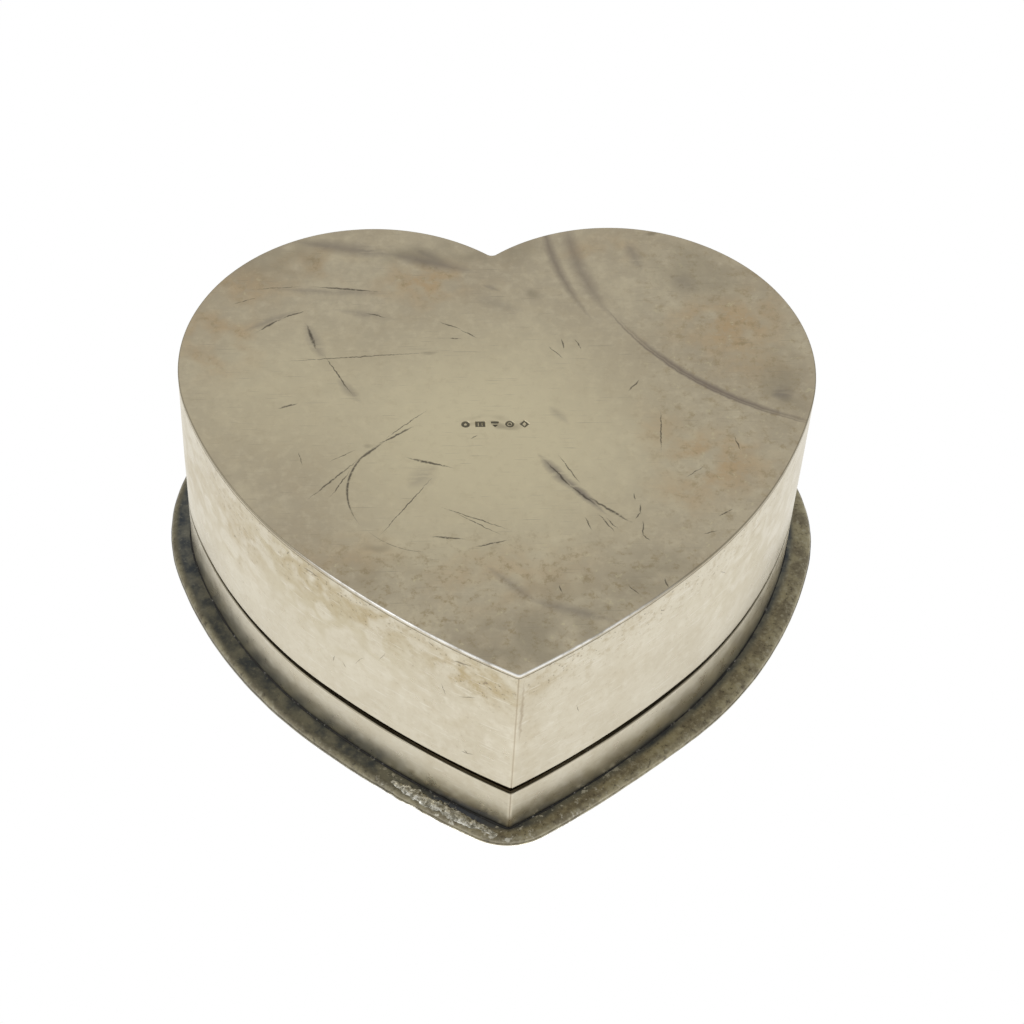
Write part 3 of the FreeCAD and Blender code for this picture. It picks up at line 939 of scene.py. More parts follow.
HAIRLINES, enter, leave = open_group("Hairlines", [
    ("Place", (0, 0, 0)), ("Turn", (0, 0, 0)), ("Stretch", (0.12, 5.0, 1.0)), ("Cut", 0.62)])
mapping = HAIRLINES.nodes.new("ShaderNodeMapping")
for label, source in (("Vector", "Place"), ("Rotation", "Turn"), ("Scale", "Stretch")):
    feed(HAIRLINES, mapping.inputs[label], enter[source])
thread = clouds(HAIRLINES, mapping.outputs[0], 1.0, 2.0, 0.5)
above = sums(HAIRLINES, "ADD", enter["Cut"], 0.07)
feed(HAIRLINES, leave[0], ease(HAIRLINES, thread, enter["Cut"], above))
print("groups:", TARNISH.name, PITS.name, HAIRLINES.name)


# %% [markdown]
# ## A metal to start from
# Every finish is a Principled shader with full metal. Its own sockets hold what is the same all
# over, and colour, roughness and bump come from the masks.

# %% Open and close a metal
def open_metal(name):
    material = bpy.data.materials.new(name)
    material.use_nodes = True
    tree = material.node_tree
    shader = tree.nodes["Principled BSDF"]
    shader.inputs["Metallic"].default_value = 1.0
    return material, tree, shader


def close_metal(tree, shader, colour, roughness, height, strength=0.4, distance=0.00005):
    """Links the results into the shader."""
    feed(tree, shader.inputs["Base Color"], colour)
    feed(tree, shader.inputs["Roughness"], roughness)
    bump = tree.nodes.new("ShaderNodeBump")
    bump.inputs["Strength"].default_value = strength
    bump.inputs["Distance"].default_value = distance
    feed(tree, bump.inputs["Height"], height)
    feed(tree, shader.inputs["Normal"], bump.outputs[0])


def strongest(tree, masks):
    """The strongest of several masks, each compared as soon as it is made to keep the shader small."""
    found = None
    for mask in masks:
        found = mask if found is None else sums(tree, "MAXIMUM", found, mask)
    return found


def stroke(tree, place, x0, y0, x1, y1, half_width, strength=1.0):
    """A scratch from one place to another."""
    way = Vector((x1 - x0, y1 - y0, 0))
    side = Vector((-way.y, way.x, 0)) / way.length
    mask = use(tree, STROKE, place=place, start=(x0, y0, 0), lengthways=way / way.length_squared,
               crossways=side / half_width)
    return mask if strength == 1 else sums(tree, "MULTIPLY", mask, strength)


def arc_stroke(tree, place, x, y, radius, first, last, width, strength=1.0):
    """A scratch along part of a circle; the angles are in degrees."""
    start = math.radians(first)
    mask = use(tree, ARC, place=place, centre=(x, y, 0), radius=radius,
               sweep=math.radians(last) - start, width=width, **{"from": start})
    return mask if strength == 1 else sums(tree, "MULTIPLY", mask, strength)


def stain(tree, place, x, y, wide, tall, strength=1.0):
    """A soft elliptical patch."""
    mask = use(tree, STAIN, place=place, centre=(x, y, 0), size=(wide, tall, 1))
    return mask if strength == 1 else sums(tree, "MULTIPLY", mask, strength)


def wandering(tree, place, scale, reach):
    """The place pushed about a little, so that marks drawn on it come out ragged."""
    push = vectors(tree, "SUBTRACT", clouds(tree, place, scale, 2.0, 0.6, output=1), (0.5, 0.5, 0.5))
    return vectors(tree, "ADD", place, vectors(tree, "SCALE", push, scale=reach))


print("metal helpers are ready")

# %% [markdown]
# ## The underside
# The base plate is what the table has worn. Under a khaki veil of tarnish lie a paler middle, brown
# blooms, one great sweeping rub across a lobe, dark smears near the back and a scatter of
# dropped-on scratches. Noise alone could scatter such marks, but these belong to this one box, so
# each is given in millimetres from the middle of the box, X to the right and Y to the back.
#
# A scratch is its start, its end and its half width, and a smear has its strength after these. A
# pale area, a bloom or a shade is its centre, its two half widths and its strength.

# %% Marks on the underside
SCRATCHES = [
    (11, 1.5, 16.6, -2.2, 0.28), (15, -1.2, 19.4, -5.2, 0.3), (18, -3.8, 25.8, -11.9, 0.2),
    (19.4, -5.8, 22.6, -11.3, 0.16), (22.8, -5, 18.5, -2.5, 0.1), (16, -1.6, 9, 4.6, 0.12),
    (13.2, -4, 6, -6.2, 0.32), (11.5, -4.6, 9.4, -5.3, 0.4), (8.5, -6.4, 17, -18.4, 0.14),
    (9.7, -12, -1.2, -17, 0.14), (7.5, -13, 0.3, -17.8, 0.12), (5, -19.3, -0.4, -18, 0.2),
    (10.3, -17.4, 5, -17.9, 0.25), (-9.4, -10.6, -15.9, -16, 0.34), (-4.9, -4.6, -8.7, -10.4, 0.26),
    (-7.6, -8.8, -11.4, -13, 0.3), (-6.6, -3.4, -9.6, -9.6, 0.16), (-11, -13.6, -13.3, -17.4, 0.16),
    (-12, -14.4, -13.7, -16.9, 0.12), (-9.4, -14.2, -10.4, -17, 0.12), (-16, -10.4, -16.1, -12.2, 0.14),
    (-16.7, -12.1, -16.5, -14.4, 0.16), (-16.6, -13.6, -15.7, -15.2, 0.14),
    (-16.8, -14.8, -16.5, -18.2, 0.16), (-16.2, -17.2, -17.6, -18.7, 0.12),
    (-20.7, 4.4, -20, -4.6, 0.16), (-16.4, 6.8, -18.6, 9.4, 0.2), (-8.5, 17, -8.8, 14.6, 0.22),
    (-10.3, 16.8, -11.1, 14.6, 0.16), (-6.4, 15.8, -8.8, 12.8, 0.14), (-22.6, -8.3, -25.6, -5.9, 0.12),
    (-29.7, -0.8, -30.4, -3.8, 0.16), (-26, -14.9, -28.6, -13.3, 0.14), (-23.7, -17.6, -26.1, -16.9, 0.14),
    (-18.6, -24.3, -19, -26.2, 0.18), (-13.9, -25.3, -15.6, -27.4, 0.12), (-5.5, -25.2, -6.1, -27, 0.14),
    (4.3, -1.1, 3.3, -0.4, 0.14), (25.4, 20.2, 23.8, 14.6, 0.42), (23.4, 15, 18.8, 5.8, 0.16),
    (30.8, 12.8, 6, 14.6, 0.14), (32.2, 18.1, 28.2, 21.2, 0.26), (28.8, 20.8, 25, 22.6, 0.22),
    (25.2, 27.1, 14.3, 25.7, 0.26), (33.4, 26.4, 25, 27.1, 0.1), (35.6, 23.5, 31.4, 25.1, 0.12),
    (17.6, 22, 14.4, 20.9, 0.2), (8, 20.3, 4.4, 18.6, 0.16), (5.2, 18.9, 2.4, 16.8, 0.16),
    (6.6, 17, 4.6, 17, 0.16), (29.2, 4.4, 26, 5.5, 0.24), (26.3, -2.8, 25.6, -5.5, 0.12),
]
SMEARS = [
    (28, 36, 12, 32.8, 1.5, 0.55), (15, 33.6, 2, 29.4, 1.5, 0.6), (21, 35, 15, 32.8, 1.2, 0.5),
    (11, 34.6, 6, 30.6, 1.4, 0.45), (8.4, -5.4, 12.8, -9.6, 1.7, 0.3), (-6, 4.8, -8.6, 1.2, 0.9, 0.25),
    (-4.2, -3.6, -8.6, -10.4, 1.0, 0.75), (-6.4, -6.6, -12.4, -14.4, 0.7, 0.8),
    (3.4, -22, -3, -28.4, 0.9, 0.4), (-1, -27.4, -13, -31.4, 1.0, 0.45), (1.6, 27.2, -1, 25.8, 0.5, 0.4),
    (-18.6, 36, -20.4, 29.6, 1.3, 0.45), (-24, 29, -28, 25, 2.2, 0.3), (-35.2, 6, -38.8, 6.8, 1.6, 0.6),
    (3, 24.6, -4, 21.8, 1.6, 0.22), (31, 26.6, 13, 25.4, 0.9, 0.35), (22, 22.6, 12, 20.4, 0.8, 0.35),
    (25.6, 20.6, 22.8, 12.6, 1.1, 0.45), (21.4, 10, 18, 5.2, 0.9, 0.4), (34, 18.4, 26, 22.6, 0.7, 0.4),
]
PALE = [
    (2, -1, 34, 30, 0.8), (24, 6, 24, 20, 0.5), (8, -16, 20, 12, 0.45),
]
BLOOMS = [
    (-31, 19, 11, 9, 0.8), (-27, -5, 10, 8, 0.8), (-23, -10, 7, 6, 0.45), (24, 31.5, 9, 5, 0.55),
    (9, 28, 9, 7, 0.75), (37, 17, 8, 10, 0.6), (-34, 12, 8, 5, 0.45), (33, 27, 9, 6, 0.5),
    (0, -24, 16, 8, 0.4), (-15, 34, 8, 4, 0.4), (20, -21, 10, 6, 0.4), (-36, 22, 5, 10, 0.5),
    (-20, 1, 6, 6, 0.35),
]
SHADES = [
    (30, 33, 14, 8, 0.35), (-18, -24, 10, 6, 0.4), (-3, -34, 16, 9, 0.5), (-8, -28, 14, 8, 0.3),
    (-37, 8, 5, 12, 0.45), (-28, 30, 10, 8, 0.35), (18, -24, 10, 5, 0.3), (-5.7, 25.7, 1.6, 1.4, 0.5),
    (-22.3, 36.3, 1.1, 0.8, 0.7), (0.8, 1.5, 5.2, 0.75, 0.55), (1, 2.8, 5.2, 0.8, 0.25),
    (9, 14.8, 1.6, 0.5, 0.4), (0, 34, 12, 5, 0.4), (10, 33, 8, 3, 0.5), (17, -19, 2.6, 1.2, 0.4),
    (16.8, -1.8, 1.4, 0.6, 0.4),
]
print(f"{len(SCRATCHES)} scratches, {len(SMEARS)} smears, {len(BLOOMS)} blooms, {len(SHADES)} shades")

# %% [markdown]
# The plate's colour is built up as it came about: first the veil of tarnish, then the pale middle
# where hands kept it bright, then blooms and their freckles, and last the shades. One big mix could
# hold all of it, but a step for each layer shows what each of them does.

# %% Underside: tarnish, pale middle and blooms
base_silver, tree, shader = open_metal("worn_base_silver")
spot = in_mm(tree)
x, y, z = parts_of(tree, spot)
flat = joined(tree, x, y)
ragged = wandering(tree, flat, 0.9, 0.5)
loose = wandering(tree, flat, 0.14, 5.0)
grain = clouds(tree, spot, 0.7, 8.0, 0.65)
veil = use(tree, TARNISH, place=spot, scale=0.055, low=0.36, high=0.64)
colour = colours(tree, veil, (0.68, 0.60, 0.435, 1), (0.56, 0.48, 0.345, 1))
mottle = clouds(tree, flat, 0.32, 6.0, 0.7)
colour = colours(tree, ease(tree, mottle, 0.36, 0.62, 0.0, 0.5), colour, (0.52, 0.455, 0.34, 1))
colour = colours(tree, ease(tree, grain, 0.45, 0.72, 0.0, 0.4), colour, (0.80, 0.72, 0.54, 1))
pale = strongest(tree, (stain(tree, ragged, *p) for p in PALE))
colour = colours(tree, pale, colour, (0.84, 0.755, 0.525, 1))
bloom = strongest(tree, (stain(tree, loose, *b) for b in BLOOMS))
blotchy = sums(tree, "MULTIPLY", bloom, ease(tree, grain, 0.3, 0.6, 0.3, 1.0))
colour = colours(tree, blotchy, colour, (0.60, 0.435, 0.25, 1))
freckled = ease(tree, clouds(tree, flat, 0.6, 7.0, 0.75), 0.5, 0.66)
where = sums(tree, "MAXIMUM", ease(tree, y, -14.0, -24.0), ease(tree, bloom, 0.1, 0.7))
where = sums(tree, "MAXIMUM", where, ease(tree, x, -14.0, -26.0, 0.0, 0.7))
patchy = sums(tree, "MULTIPLY_ADD", where, 0.65, 0.12)
colour = colours(tree, sums(tree, "MULTIPLY", freckled, patchy), colour, (0.43, 0.34, 0.20, 1))
rubbed = ease(tree, clouds(tree, flat, 0.8, 6.0, 0.7), 0.42, 0.32)
colour = colours(tree, sums(tree, "MULTIPLY", rubbed, patchy), colour, (0.74, 0.67, 0.45, 1))
shade = strongest(tree, (stain(tree, loose, *s) for s in SHADES))
colour = colours(tree, shade, colour, (0.345, 0.30, 0.215, 1))
print(f"{base_silver.name}: {len(tree.nodes)} nodes for its tarnish")

# %% [markdown]
# Smears and the great rub are broad, so they are streaked along their way. Scratches are thin and
# dark, and broken where they skipped. Their place is pushed about by noise first, since a ruled
# line looks drawn and not scratched.

# %% Underside: smears, rubs and scratches
smear = strongest(tree, (stroke(tree, ragged, *s) for s in SMEARS))
rub = strongest(tree, [
    arc_stroke(tree, ragged, -52, 40.5, 41.4, 4, -30, 1.5, 0.5),
    arc_stroke(tree, ragged, -51, 41.5, 43.6, 4, -30, 0.9, 0.6),
    arc_stroke(tree, ragged, -52, 40.5, 40.8, -28, -78, 0.7, 0.8),
    arc_stroke(tree, ragged, -52, 40.5, 41.2, -20, -80, 0.3, 0.8),
])
streaks = use(tree, HAIRLINES, place=ragged, turn=(0, 0, 0.5), stretch=(0.12, 1.1, 1.0), cut=0.36)
smear = sums(tree, "MULTIPLY", smear, sums(tree, "MULTIPLY_ADD", streaks, 0.5, 0.5))
colour = colours(tree, smear, colour, (0.27, 0.235, 0.205, 1))
colour = colours(tree, rub, colour, (0.25, 0.205, 0.175, 1))
THINNER = 0.85
scratch = strongest(tree, (stroke(tree, ragged, *s[:4], s[4] * THINNER) for s in SCRATCHES))
rings_cut = strongest(tree, [
    arc_stroke(tree, flat, 10, -10, 10.1, 62, -40, 0.24),
    arc_stroke(tree, flat, 10, -10, 9.9, -28, -104, 0.12, 0.6),
])
scratch = sums(tree, "MAXIMUM", scratch, rings_cut)
broken = ease(tree, clouds(tree, spot, 1.9, 3.0, 0.6), 0.34, 0.5, 0.55, 1.0)
scratch = sums(tree, "MULTIPLY", scratch, broken)
hairs = use(tree, HAIRLINES, place=flat, turn=(0, 0, 0.9), stretch=(0.16, 6.0, 1.0), cut=0.66)
hairs_2 = use(tree, HAIRLINES, place=flat, turn=(0, 0, -0.4), stretch=(0.2, 7.0, 1.0), cut=0.68)
hair = sums(tree, "MAXIMUM", hairs, hairs_2)
colour = colours(tree, sums(tree, "MULTIPLY", hair, 0.45), colour, (0.36, 0.315, 0.24, 1))
colour = colours(tree, ease(tree, scratch, 0.1, 1.0, 0.0, 0.9), colour, (0.13, 0.115, 0.09, 1))
print(f"{base_silver.name}: {len(tree.nodes)} nodes with its scratches")

# %% [markdown]
# Dirt stays in the punched marks and in the seam, and the plate's edge is painted darker all round.
# Near the point the edge is rubbed bare. The notes that the shell made, how deep and how far out,
# tell the shader where.

# %% Underside: marks, edge and seam
sunk = ease(tree, attribute(tree, "deep"), 0.02, 0.15)
colour = colours(tree, sums(tree, "MULTIPLY", sunk, 0.85), colour, (0.075, 0.07, 0.055, 1))
edge = ease(tree, attribute(tree, "out_mm"), -0.2, -0.05)
below = ease(tree, z, 0.5, 0.2)
rim = sums(tree, "MULTIPLY", edge, below)
rubbed_y = sums(tree, "ADD", y, ease(tree, x, 2.0, -6.0, 0.0, 6.0))
by_point = ease(tree, rubbed_y, -17.0, -29.0)
worn = ease(tree, clouds(tree, spot, 0.35, 4.0, 0.6), 0.3, 0.55, 0.3, 1.0)
# the plate's edge is painted darker all round
colour = colours(tree, sums(tree, "MULTIPLY", rim, 0.85), colour, (0.24, 0.21, 0.15, 1))
rim = sums(tree, "MULTIPLY", rim, sums(tree, "MULTIPLY", worn, by_point))
colour = colours(tree, rim, colour, (0.93, 0.915, 0.88, 1))
seam = ease(tree, z, base_top - 0.1, base_top - 0.02)
colour = colours(tree, sums(tree, "MULTIPLY", seam, edge), colour, (0.09, 0.08, 0.065, 1))
rough = sums(tree, "MULTIPLY_ADD", grain, 0.22, 0.3)
rough = sums(tree, "MULTIPLY_ADD", rim, -0.16, rough)
bumps = sums(tree, "MULTIPLY_ADD", hair, -0.25, sums(tree, "MULTIPLY", grain, 0.6))
close_metal(tree, shader, colour, rough, bumps, strength=0.35)
print(f"{base_silver.name}: {len(tree.nodes)} nodes")

# %% [markdown]
# ## The walls and the skirt
# The bands were handled more and rubbed less. They are a paler, creamier silver, foxed with brown
# near the plate and near the point where the polishing cloth never reached, and pitted there too.
# Distances along the band and heights make a flat map to place marks on, as if the strip lay
# unrolled on the bench.

# %% Marks on the walls
WALL_MARKS = [
    (5.2, 19.8, 7.4, 20.3, 0.16), (6, 20.4, 6.9, 19.4, 0.12), (26.8, 15.4, 27.2, 17.2, 0.14),
    (24.8, 16.8, 25.8, 15.6, 0.1), (6, 2.1, 9.4, 2.9, 0.22), (7, 2.6, 8.6, 2.7, 0.2),
    (28.8, 1.9, 32.4, 2.3, 0.18), (34.2, 1.2, 35, 2.2, 0.16), (11.5, 1.9, 12.6, 1.5, 0.14),
    (18.5, 8, 20, 11.5, 0.05), (21.8, 11.5, 23.8, 15, 0.05),
    (5, 7.6, 8.2, 9.4, 0.12), (9.6, 10.6, 10.4, 8.2, 0.1), (-22, 3.2, -22.8, 4.2, 0.12),
    (-6.2, 1.6, -8.6, 1.1, 0.1), (-9, 12, -9.8, 14.6, 0.08), (-33.2, 5, -35, 7.4, 0.08),
]
FOXING = [
    (6, 5, 10, 6, 0.95), (22, 3, 10, 5, 0.8), (31, 4, 11, 6, 0.75), (46, 7, 10, 8, 0.6),
    (45, 14, 8, 3, 0.35), (-4, 3, 6, 5, 0.4), (-2.4, 12, 2.4, 16, 0.3), (-20, 2, 9, 3, 0.3),
    (12, 14, 12, 5, 0.25), (58, 11, 8, 9, 0.35), (-15, 12, 10, 6, 0.2), (85, 8, 16, 8, 0.35),
    (-70, 9, 14, 9, 0.35), (-95, 14, 12, 8, 0.35),
]
DULLED = [
    (30, 4, 26, 15, 0.7), (60, 10, 24, 16, 0.55), (-46, 10, 24, 16, 0.6), (4, 2, 8, 8, 0.35),
]
print(f"{len(WALL_MARKS)} marks, {len(FOXING)} foxed places, {len(DULLED)} dull places")

# %% [markdown]
# The sheet starts clean, then dulls in broad places and foxes in smaller ones. Speckle inside the
# foxing keeps it from looking like a stain of even paint.

# %% Walls: tarnish and foxing
wall_silver, tree, shader = open_metal("handled_wall_silver")
spot = in_mm(tree)
y, z = parts_of(tree, spot, "yz")
along = attribute(tree, "along_mm")
sheet = joined(tree, along, z)
ragged = wandering(tree, sheet, 0.8, 0.6)
loose = wandering(tree, sheet, 0.2, 6.0)
grain = clouds(tree, spot, 0.55, 8.0, 0.62)
veil = use(tree, TARNISH, place=spot, scale=0.09, low=0.34, high=0.68)
colour = colours(tree, veil, (0.70, 0.645, 0.515, 1), (0.62, 0.56, 0.43, 1))
colour = colours(tree, ease(tree, grain, 0.45, 0.75, 0.0, 0.5), colour, (0.80, 0.755, 0.64, 1))
dull = strongest(tree, (stain(tree, loose, *d) for d in DULLED))
colour = colours(tree, dull, colour, (0.53, 0.46, 0.30, 1))
fox = strongest(tree, (stain(tree, loose, *f) for f in FOXING))
speckled = ease(tree, clouds(tree, spot, 0.6, 7.0, 0.75), 0.36, 0.62, 0.2, 1.0)
fox = sums(tree, "MULTIPLY", fox, speckled)
colour = colours(tree, fox, colour, (0.47, 0.375, 0.215, 1))
near_plate = ease(tree, z, 11.0, 0.6)
dapple = ease(tree, clouds(tree, sheet, 0.8, 6.0, 0.75), 0.48, 0.64)
dapple = sums(tree, "MULTIPLY", dapple, sums(tree, "MULTIPLY_ADD", near_plate, 0.45, 0.18))
colour = colours(tree, dapple, colour, (0.47, 0.39, 0.25, 1))
freckle = ease(tree, clouds(tree, spot, 1.5, 3.0, 0.6), 0.6, 0.7)
stained = sums(tree, "MAXIMUM", fox, sums(tree, "MULTIPLY", dapple, 0.8))
freckle = sums(tree, "MULTIPLY", freckle, stained)
freckle = sums(tree, "MULTIPLY", freckle, 1.3, clamp=True)
colour = colours(tree, freckle, colour, (0.25, 0.20, 0.13, 1))
print(f"{wall_silver.name}: {len(tree.nodes)} nodes for its tarnish")

# %% [markdown]
# Next come the pits and scratches, and the dirt in the joints up the point and in the step above
# the plate. The skirt has painted shade just under the eave and, away from the point, along its
# lower lip. The lip rises towards the point, so its height is worked out from Y with the same lean
# as the mesh.

# %% Walls: pits, scratches, dirt in the joints and painted shade
pits = use(tree, PITS, place=spot, scale=1.7, amount=0.36)
pitted = sums(tree, "MAXIMUM", fox, sums(tree, "MULTIPLY", near_plate, 0.4))
pit = sums(tree, "MULTIPLY", pits, pitted)
pit = sums(tree, "MULTIPLY", pit, 1.5, clamp=True)
marks = strongest(tree, (stroke(tree, ragged, *m) for m in WALL_MARKS))
pit = sums(tree, "MAXIMUM", pit, sums(tree, "MULTIPLY", marks, 0.7))
colour = colours(tree, ease(tree, pit, 0.1, 0.7, 0.0, 0.8), colour, (0.20, 0.165, 0.115, 1))
hairs = use(tree, HAIRLINES, place=sheet, turn=(0, 0, 1.2), stretch=(0.25, 3.0, 1.0), cut=0.62)
colour = colours(tree, sums(tree, "MULTIPLY", hairs, 0.3), colour, (0.88, 0.85, 0.77, 1))
dirt_line = stroke(tree, ragged, -0.75, 0.8, -0.65, 15, 0.28, 0.6)
joint = ease(tree, sums(tree, "ABSOLUTE", along), 0.16, 0.02, 0.0, 0.5)
colour = colours(tree, sums(tree, "MAXIMUM", dirt_line, joint), colour, (0.36, 0.28, 0.18, 1))
in_step = ease(tree, sums(tree, "ABSOLUTE", sums(tree, "SUBTRACT", z, base_top)), 0.16, 0.03)
colour = colours(tree, sums(tree, "MULTIPLY", in_step, 0.7), colour, (0.10, 0.09, 0.07, 1))
# painted shade on the skirt just under the eave's overhang
eave_shade = ease(tree, z, lid_seat - 0.9, lid_seat - 0.05, 0.0, 0.6)
colour = colours(tree, eave_shade, colour, (0.17, 0.165, 0.13, 1))
lip_height = sums(tree, "MULTIPLY_ADD", y, -LEAN, skirt_back + LEAN * hinge_axis.y)
from_lip = sums(tree, "SUBTRACT", z, lip_height)
# painted shade on the skirt's lower edge, which would otherwise catch the light beside the gap
lip_shade = sums(tree, "MULTIPLY", ease(tree, from_lip, 0.24, 0.1), ease(tree, from_lip, -0.03, -0.01))
lip_shade = sums(tree, "MULTIPLY", lip_shade, ease(tree, sums(tree, "ABSOLUTE", along), 9.0, 20.0, 0.0, 0.85))
colour = colours(tree, lip_shade, colour, (0.22, 0.195, 0.14, 1))
rough = sums(tree, "MULTIPLY_ADD", grain, 0.2, 0.2)
rough = sums(tree, "MULTIPLY_ADD", fox, 0.12, rough)
bumps = sums(tree, "MULTIPLY_ADD", pits, -0.3, sums(tree, "MULTIPLY", grain, 0.6))
close_metal(tree, shader, colour, rough, bumps, strength=0.35)
print(f"{wall_silver.name}: {len(tree.nodes)} nodes")

# %% [markdown]
# ## Gilding
# The gilt is a warm wash, worn paler in places at the bezel's rim where the lid rubs it. The
# bezel's outer face is painted near black, a painted shade for the deep gap under the lid over some
# tarnish, darkest just above the wall. A plain black band would do when the lid is closed, but the
# open box shows it, so the painted shade thins out upwards to a dark brownish gilt.

# %% Gilt finish
gilt, tree, shader = open_metal("thin_gilding")
spot = in_mm(tree)
z = parts_of(tree, spot, "z")
grain = clouds(tree, spot, 0.8, 6.0, 0.6)
colour = colours(tree, grain, (0.96, 0.80, 0.46, 1), (0.86, 0.69, 0.38, 1))
uneven_z = sums(tree, "ADD", z, sums(tree, "MULTIPLY", grain, 1.2))
bare = ease(tree, uneven_z, bezel_top + 0.3, bezel_top + 0.8)
bare = sums(tree, "MULTIPLY", bare, ease(tree, z, bezel_top + 1.5, bezel_top + 0.5))
colour = colours(tree, bare, colour, (0.80, 0.77, 0.70, 1))
outer_face = ease(tree, attribute(tree, "out_mm"), -WALL_THICK - 0.3, -WALL_THICK - 0.1)
# painted shade in the gap between bezel and skirt, over some real tarnish
gap_shade = sums(tree, "MULTIPLY", outer_face, ease(tree, z, bezel_top + 0.1, bezel_top - 0.3))
thinning = ease(tree, z, wall_top + 0.5, wall_top + 1.3)
gap_shade_colour = colours(tree, thinning, (0.016, 0.014, 0.012, 1), (0.085, 0.062, 0.035, 1))
colour = colours(tree, sums(tree, "MULTIPLY", gap_shade, 0.97), colour, gap_shade_colour)
rough = sums(tree, "MULTIPLY_ADD", grain, 0.2, 0.2)
rough = sums(tree, "MULTIPLY_ADD", gap_shade, 0.3, rough)
close_metal(tree, shader, colour, rough, grain, strength=0.2)
print(f"{gilt.name}: {len(tree.nodes)} nodes")

# %% [markdown]
# ## The lid plate
# The top of the lid is the part that was seen, so it was polished most. It has the same silver with
# fine wiping scratches and a painted shade line in the corner of the step round the panel.

# %% Lid: the polished top
lid_silver, tree, shader = open_metal("eave_and_lid_silver")
spot = in_mm(tree)
x, y, z = parts_of(tree, spot)
flat = joined(tree, x, y)
out = attribute(tree, "out_mm")
along = attribute(tree, "along_mm")
grain = clouds(tree, spot, 0.6, 8.0, 0.62)
veil = use(tree, TARNISH, place=spot, scale=0.07, low=0.36, high=0.66)
colour = colours(tree, veil, (0.70, 0.67, 0.58, 1), (0.60, 0.555, 0.45, 1))
hair = sums(tree, "MAXIMUM",
            use(tree, HAIRLINES, place=flat, turn=(0, 0, 0.3), stretch=(0.14, 6.0, 1.0), cut=0.64),
            use(tree, HAIRLINES, place=flat, turn=(0, 0, -0.9), stretch=(0.18, 7.0, 1.0), cut=0.66))
colour = colours(tree, sums(tree, "MULTIPLY", hair, 0.3), colour, (0.36, 0.33, 0.27, 1))
step_shadow = sums(tree, "ABSOLUTE", sums(tree, "ADD", out, PANEL_INSET))
by_step = ease(tree, step_shadow, 0.5, 0.05)
# painted shade in the inner corner of the step round the panel
step_corner_shade = sums(tree, "MULTIPLY", by_step, ease(tree, z, rim_top + 0.35, rim_top))
above = ease(tree, z, lid_seat + 0.75, lid_seat + 1.2)
colour = colours(tree, sums(tree, "MULTIPLY", step_corner_shade, above), colour, (0.14, 0.125, 0.095, 1))
print(f"{lid_silver.name}: {len(tree.nodes)} nodes for its top")

# %% [markdown]
# The eave kept every fume and fingerprint. Beside the skirt it is painted blue black, tarnish with
# painted shade in the corner under it, and it is olive brown on its worn outer edge, with a crust
# and painted glints near the point. Two colours, chosen by how far out a place lies, are mixed from
# the same clouds, so that they run into each other.

# %% Lid: the eave
under = ease(tree, z, lid_seat + 0.85, lid_seat + 0.25)
outside = ease(tree, out, -1.0, -0.4)
patch = clouds(tree, spot, 0.33, 5.0, 0.65)
# painted shade with tarnish in the corner between the skirt and the eave
corner_shade_tarnish = colours(tree, ease(tree, patch, 0.35, 0.65), (0.062, 0.07, 0.078, 1), (0.19, 0.185, 0.15, 1))
brown = colours(tree, ease(tree, patch, 0.4, 0.6), (0.37, 0.33, 0.215, 1), (0.23, 0.20, 0.135, 1))
crust = clouds(tree, spot, 1.3, 5.0, 0.7)
brown = colours(tree, ease(tree, crust, 0.5, 0.66, 0.0, 0.7), brown, (0.46, 0.43, 0.32, 1))
brown = colours(tree, ease(tree, crust, 0.46, 0.34, 0.0, 0.7), brown, (0.08, 0.07, 0.055, 1))
corner_shade_tarnish = colours(tree, ease(tree, crust, 0.56, 0.68, 0.0, 0.6), corner_shade_tarnish, (0.27, 0.26, 0.21, 1))
turned_out = sums(tree, "SUBTRACT", out, ease(tree, along, -8.0, 14.0, 0.0, 1.2))
to_rim = ease(tree, turned_out, 0.35, 1.25)
blue_end = sums(tree, "MULTIPLY", ease(tree, along, -0.4, 0.6), ease(tree, along, 11.0, 4.0))
corner_shade_tarnish = colours(tree, sums(tree, "MULTIPLY", blue_end, 0.8), corner_shade_tarnish, (0.085, 0.10, 0.145, 1))
brown = colours(tree, ease(tree, along, -6.0, 16.0, 0.0, 0.4), brown, (0.07, 0.068, 0.055, 1))
eave = colours(tree, to_rim, corner_shade_tarnish, brown)
# painted glints: pale flecks on the eave near the point
glint_fleck = ease(tree, clouds(tree, spot, 1.0, 5.0, 0.7), 0.56, 0.64)
glint_fleck = sums(tree, "MULTIPLY", glint_fleck, ease(tree, sums(tree, "ABSOLUTE", along), 24.0, 8.0, 0.0, 0.8))
eave = colours(tree, glint_fleck, eave, (0.68, 0.66, 0.57, 1))
colour = colours(tree, sums(tree, "MULTIPLY", under, outside), colour, eave)
side_face = sums(tree, "MULTIPLY", ease(tree, out, overhang - 0.15, overhang - 0.02),
                 ease(tree, z, rim_top - 0.05, rim_top - 0.3))
colour = colours(tree, side_face, colour, brown)
rough = sums(tree, "MULTIPLY_ADD", grain, 0.22, 0.2)
rough = sums(tree, "MULTIPLY_ADD", sums(tree, "MULTIPLY", to_rim, under), 0.2, rough)
crusted = sums(tree, "MULTIPLY_ADD", sums(tree, "MULTIPLY", crust, under), 1.2, grain)
bumps = sums(tree, "MULTIPLY_ADD", hair, -0.3, crusted)
close_metal(tree, shader, colour, rough, bumps, strength=0.35)
print(f"{lid_silver.name}: {len(tree.nodes)} nodes")

# %% [markdown]
# ## Solder and hinge
# The fillet is painted nearly black, tarnished solder with painted shade for the corner under the
# eave, so that its edge catches no light. The flood beside the point is brighter, because it stands
# out and was rubbed. The hinge is the wall's silver, browner and pitted.

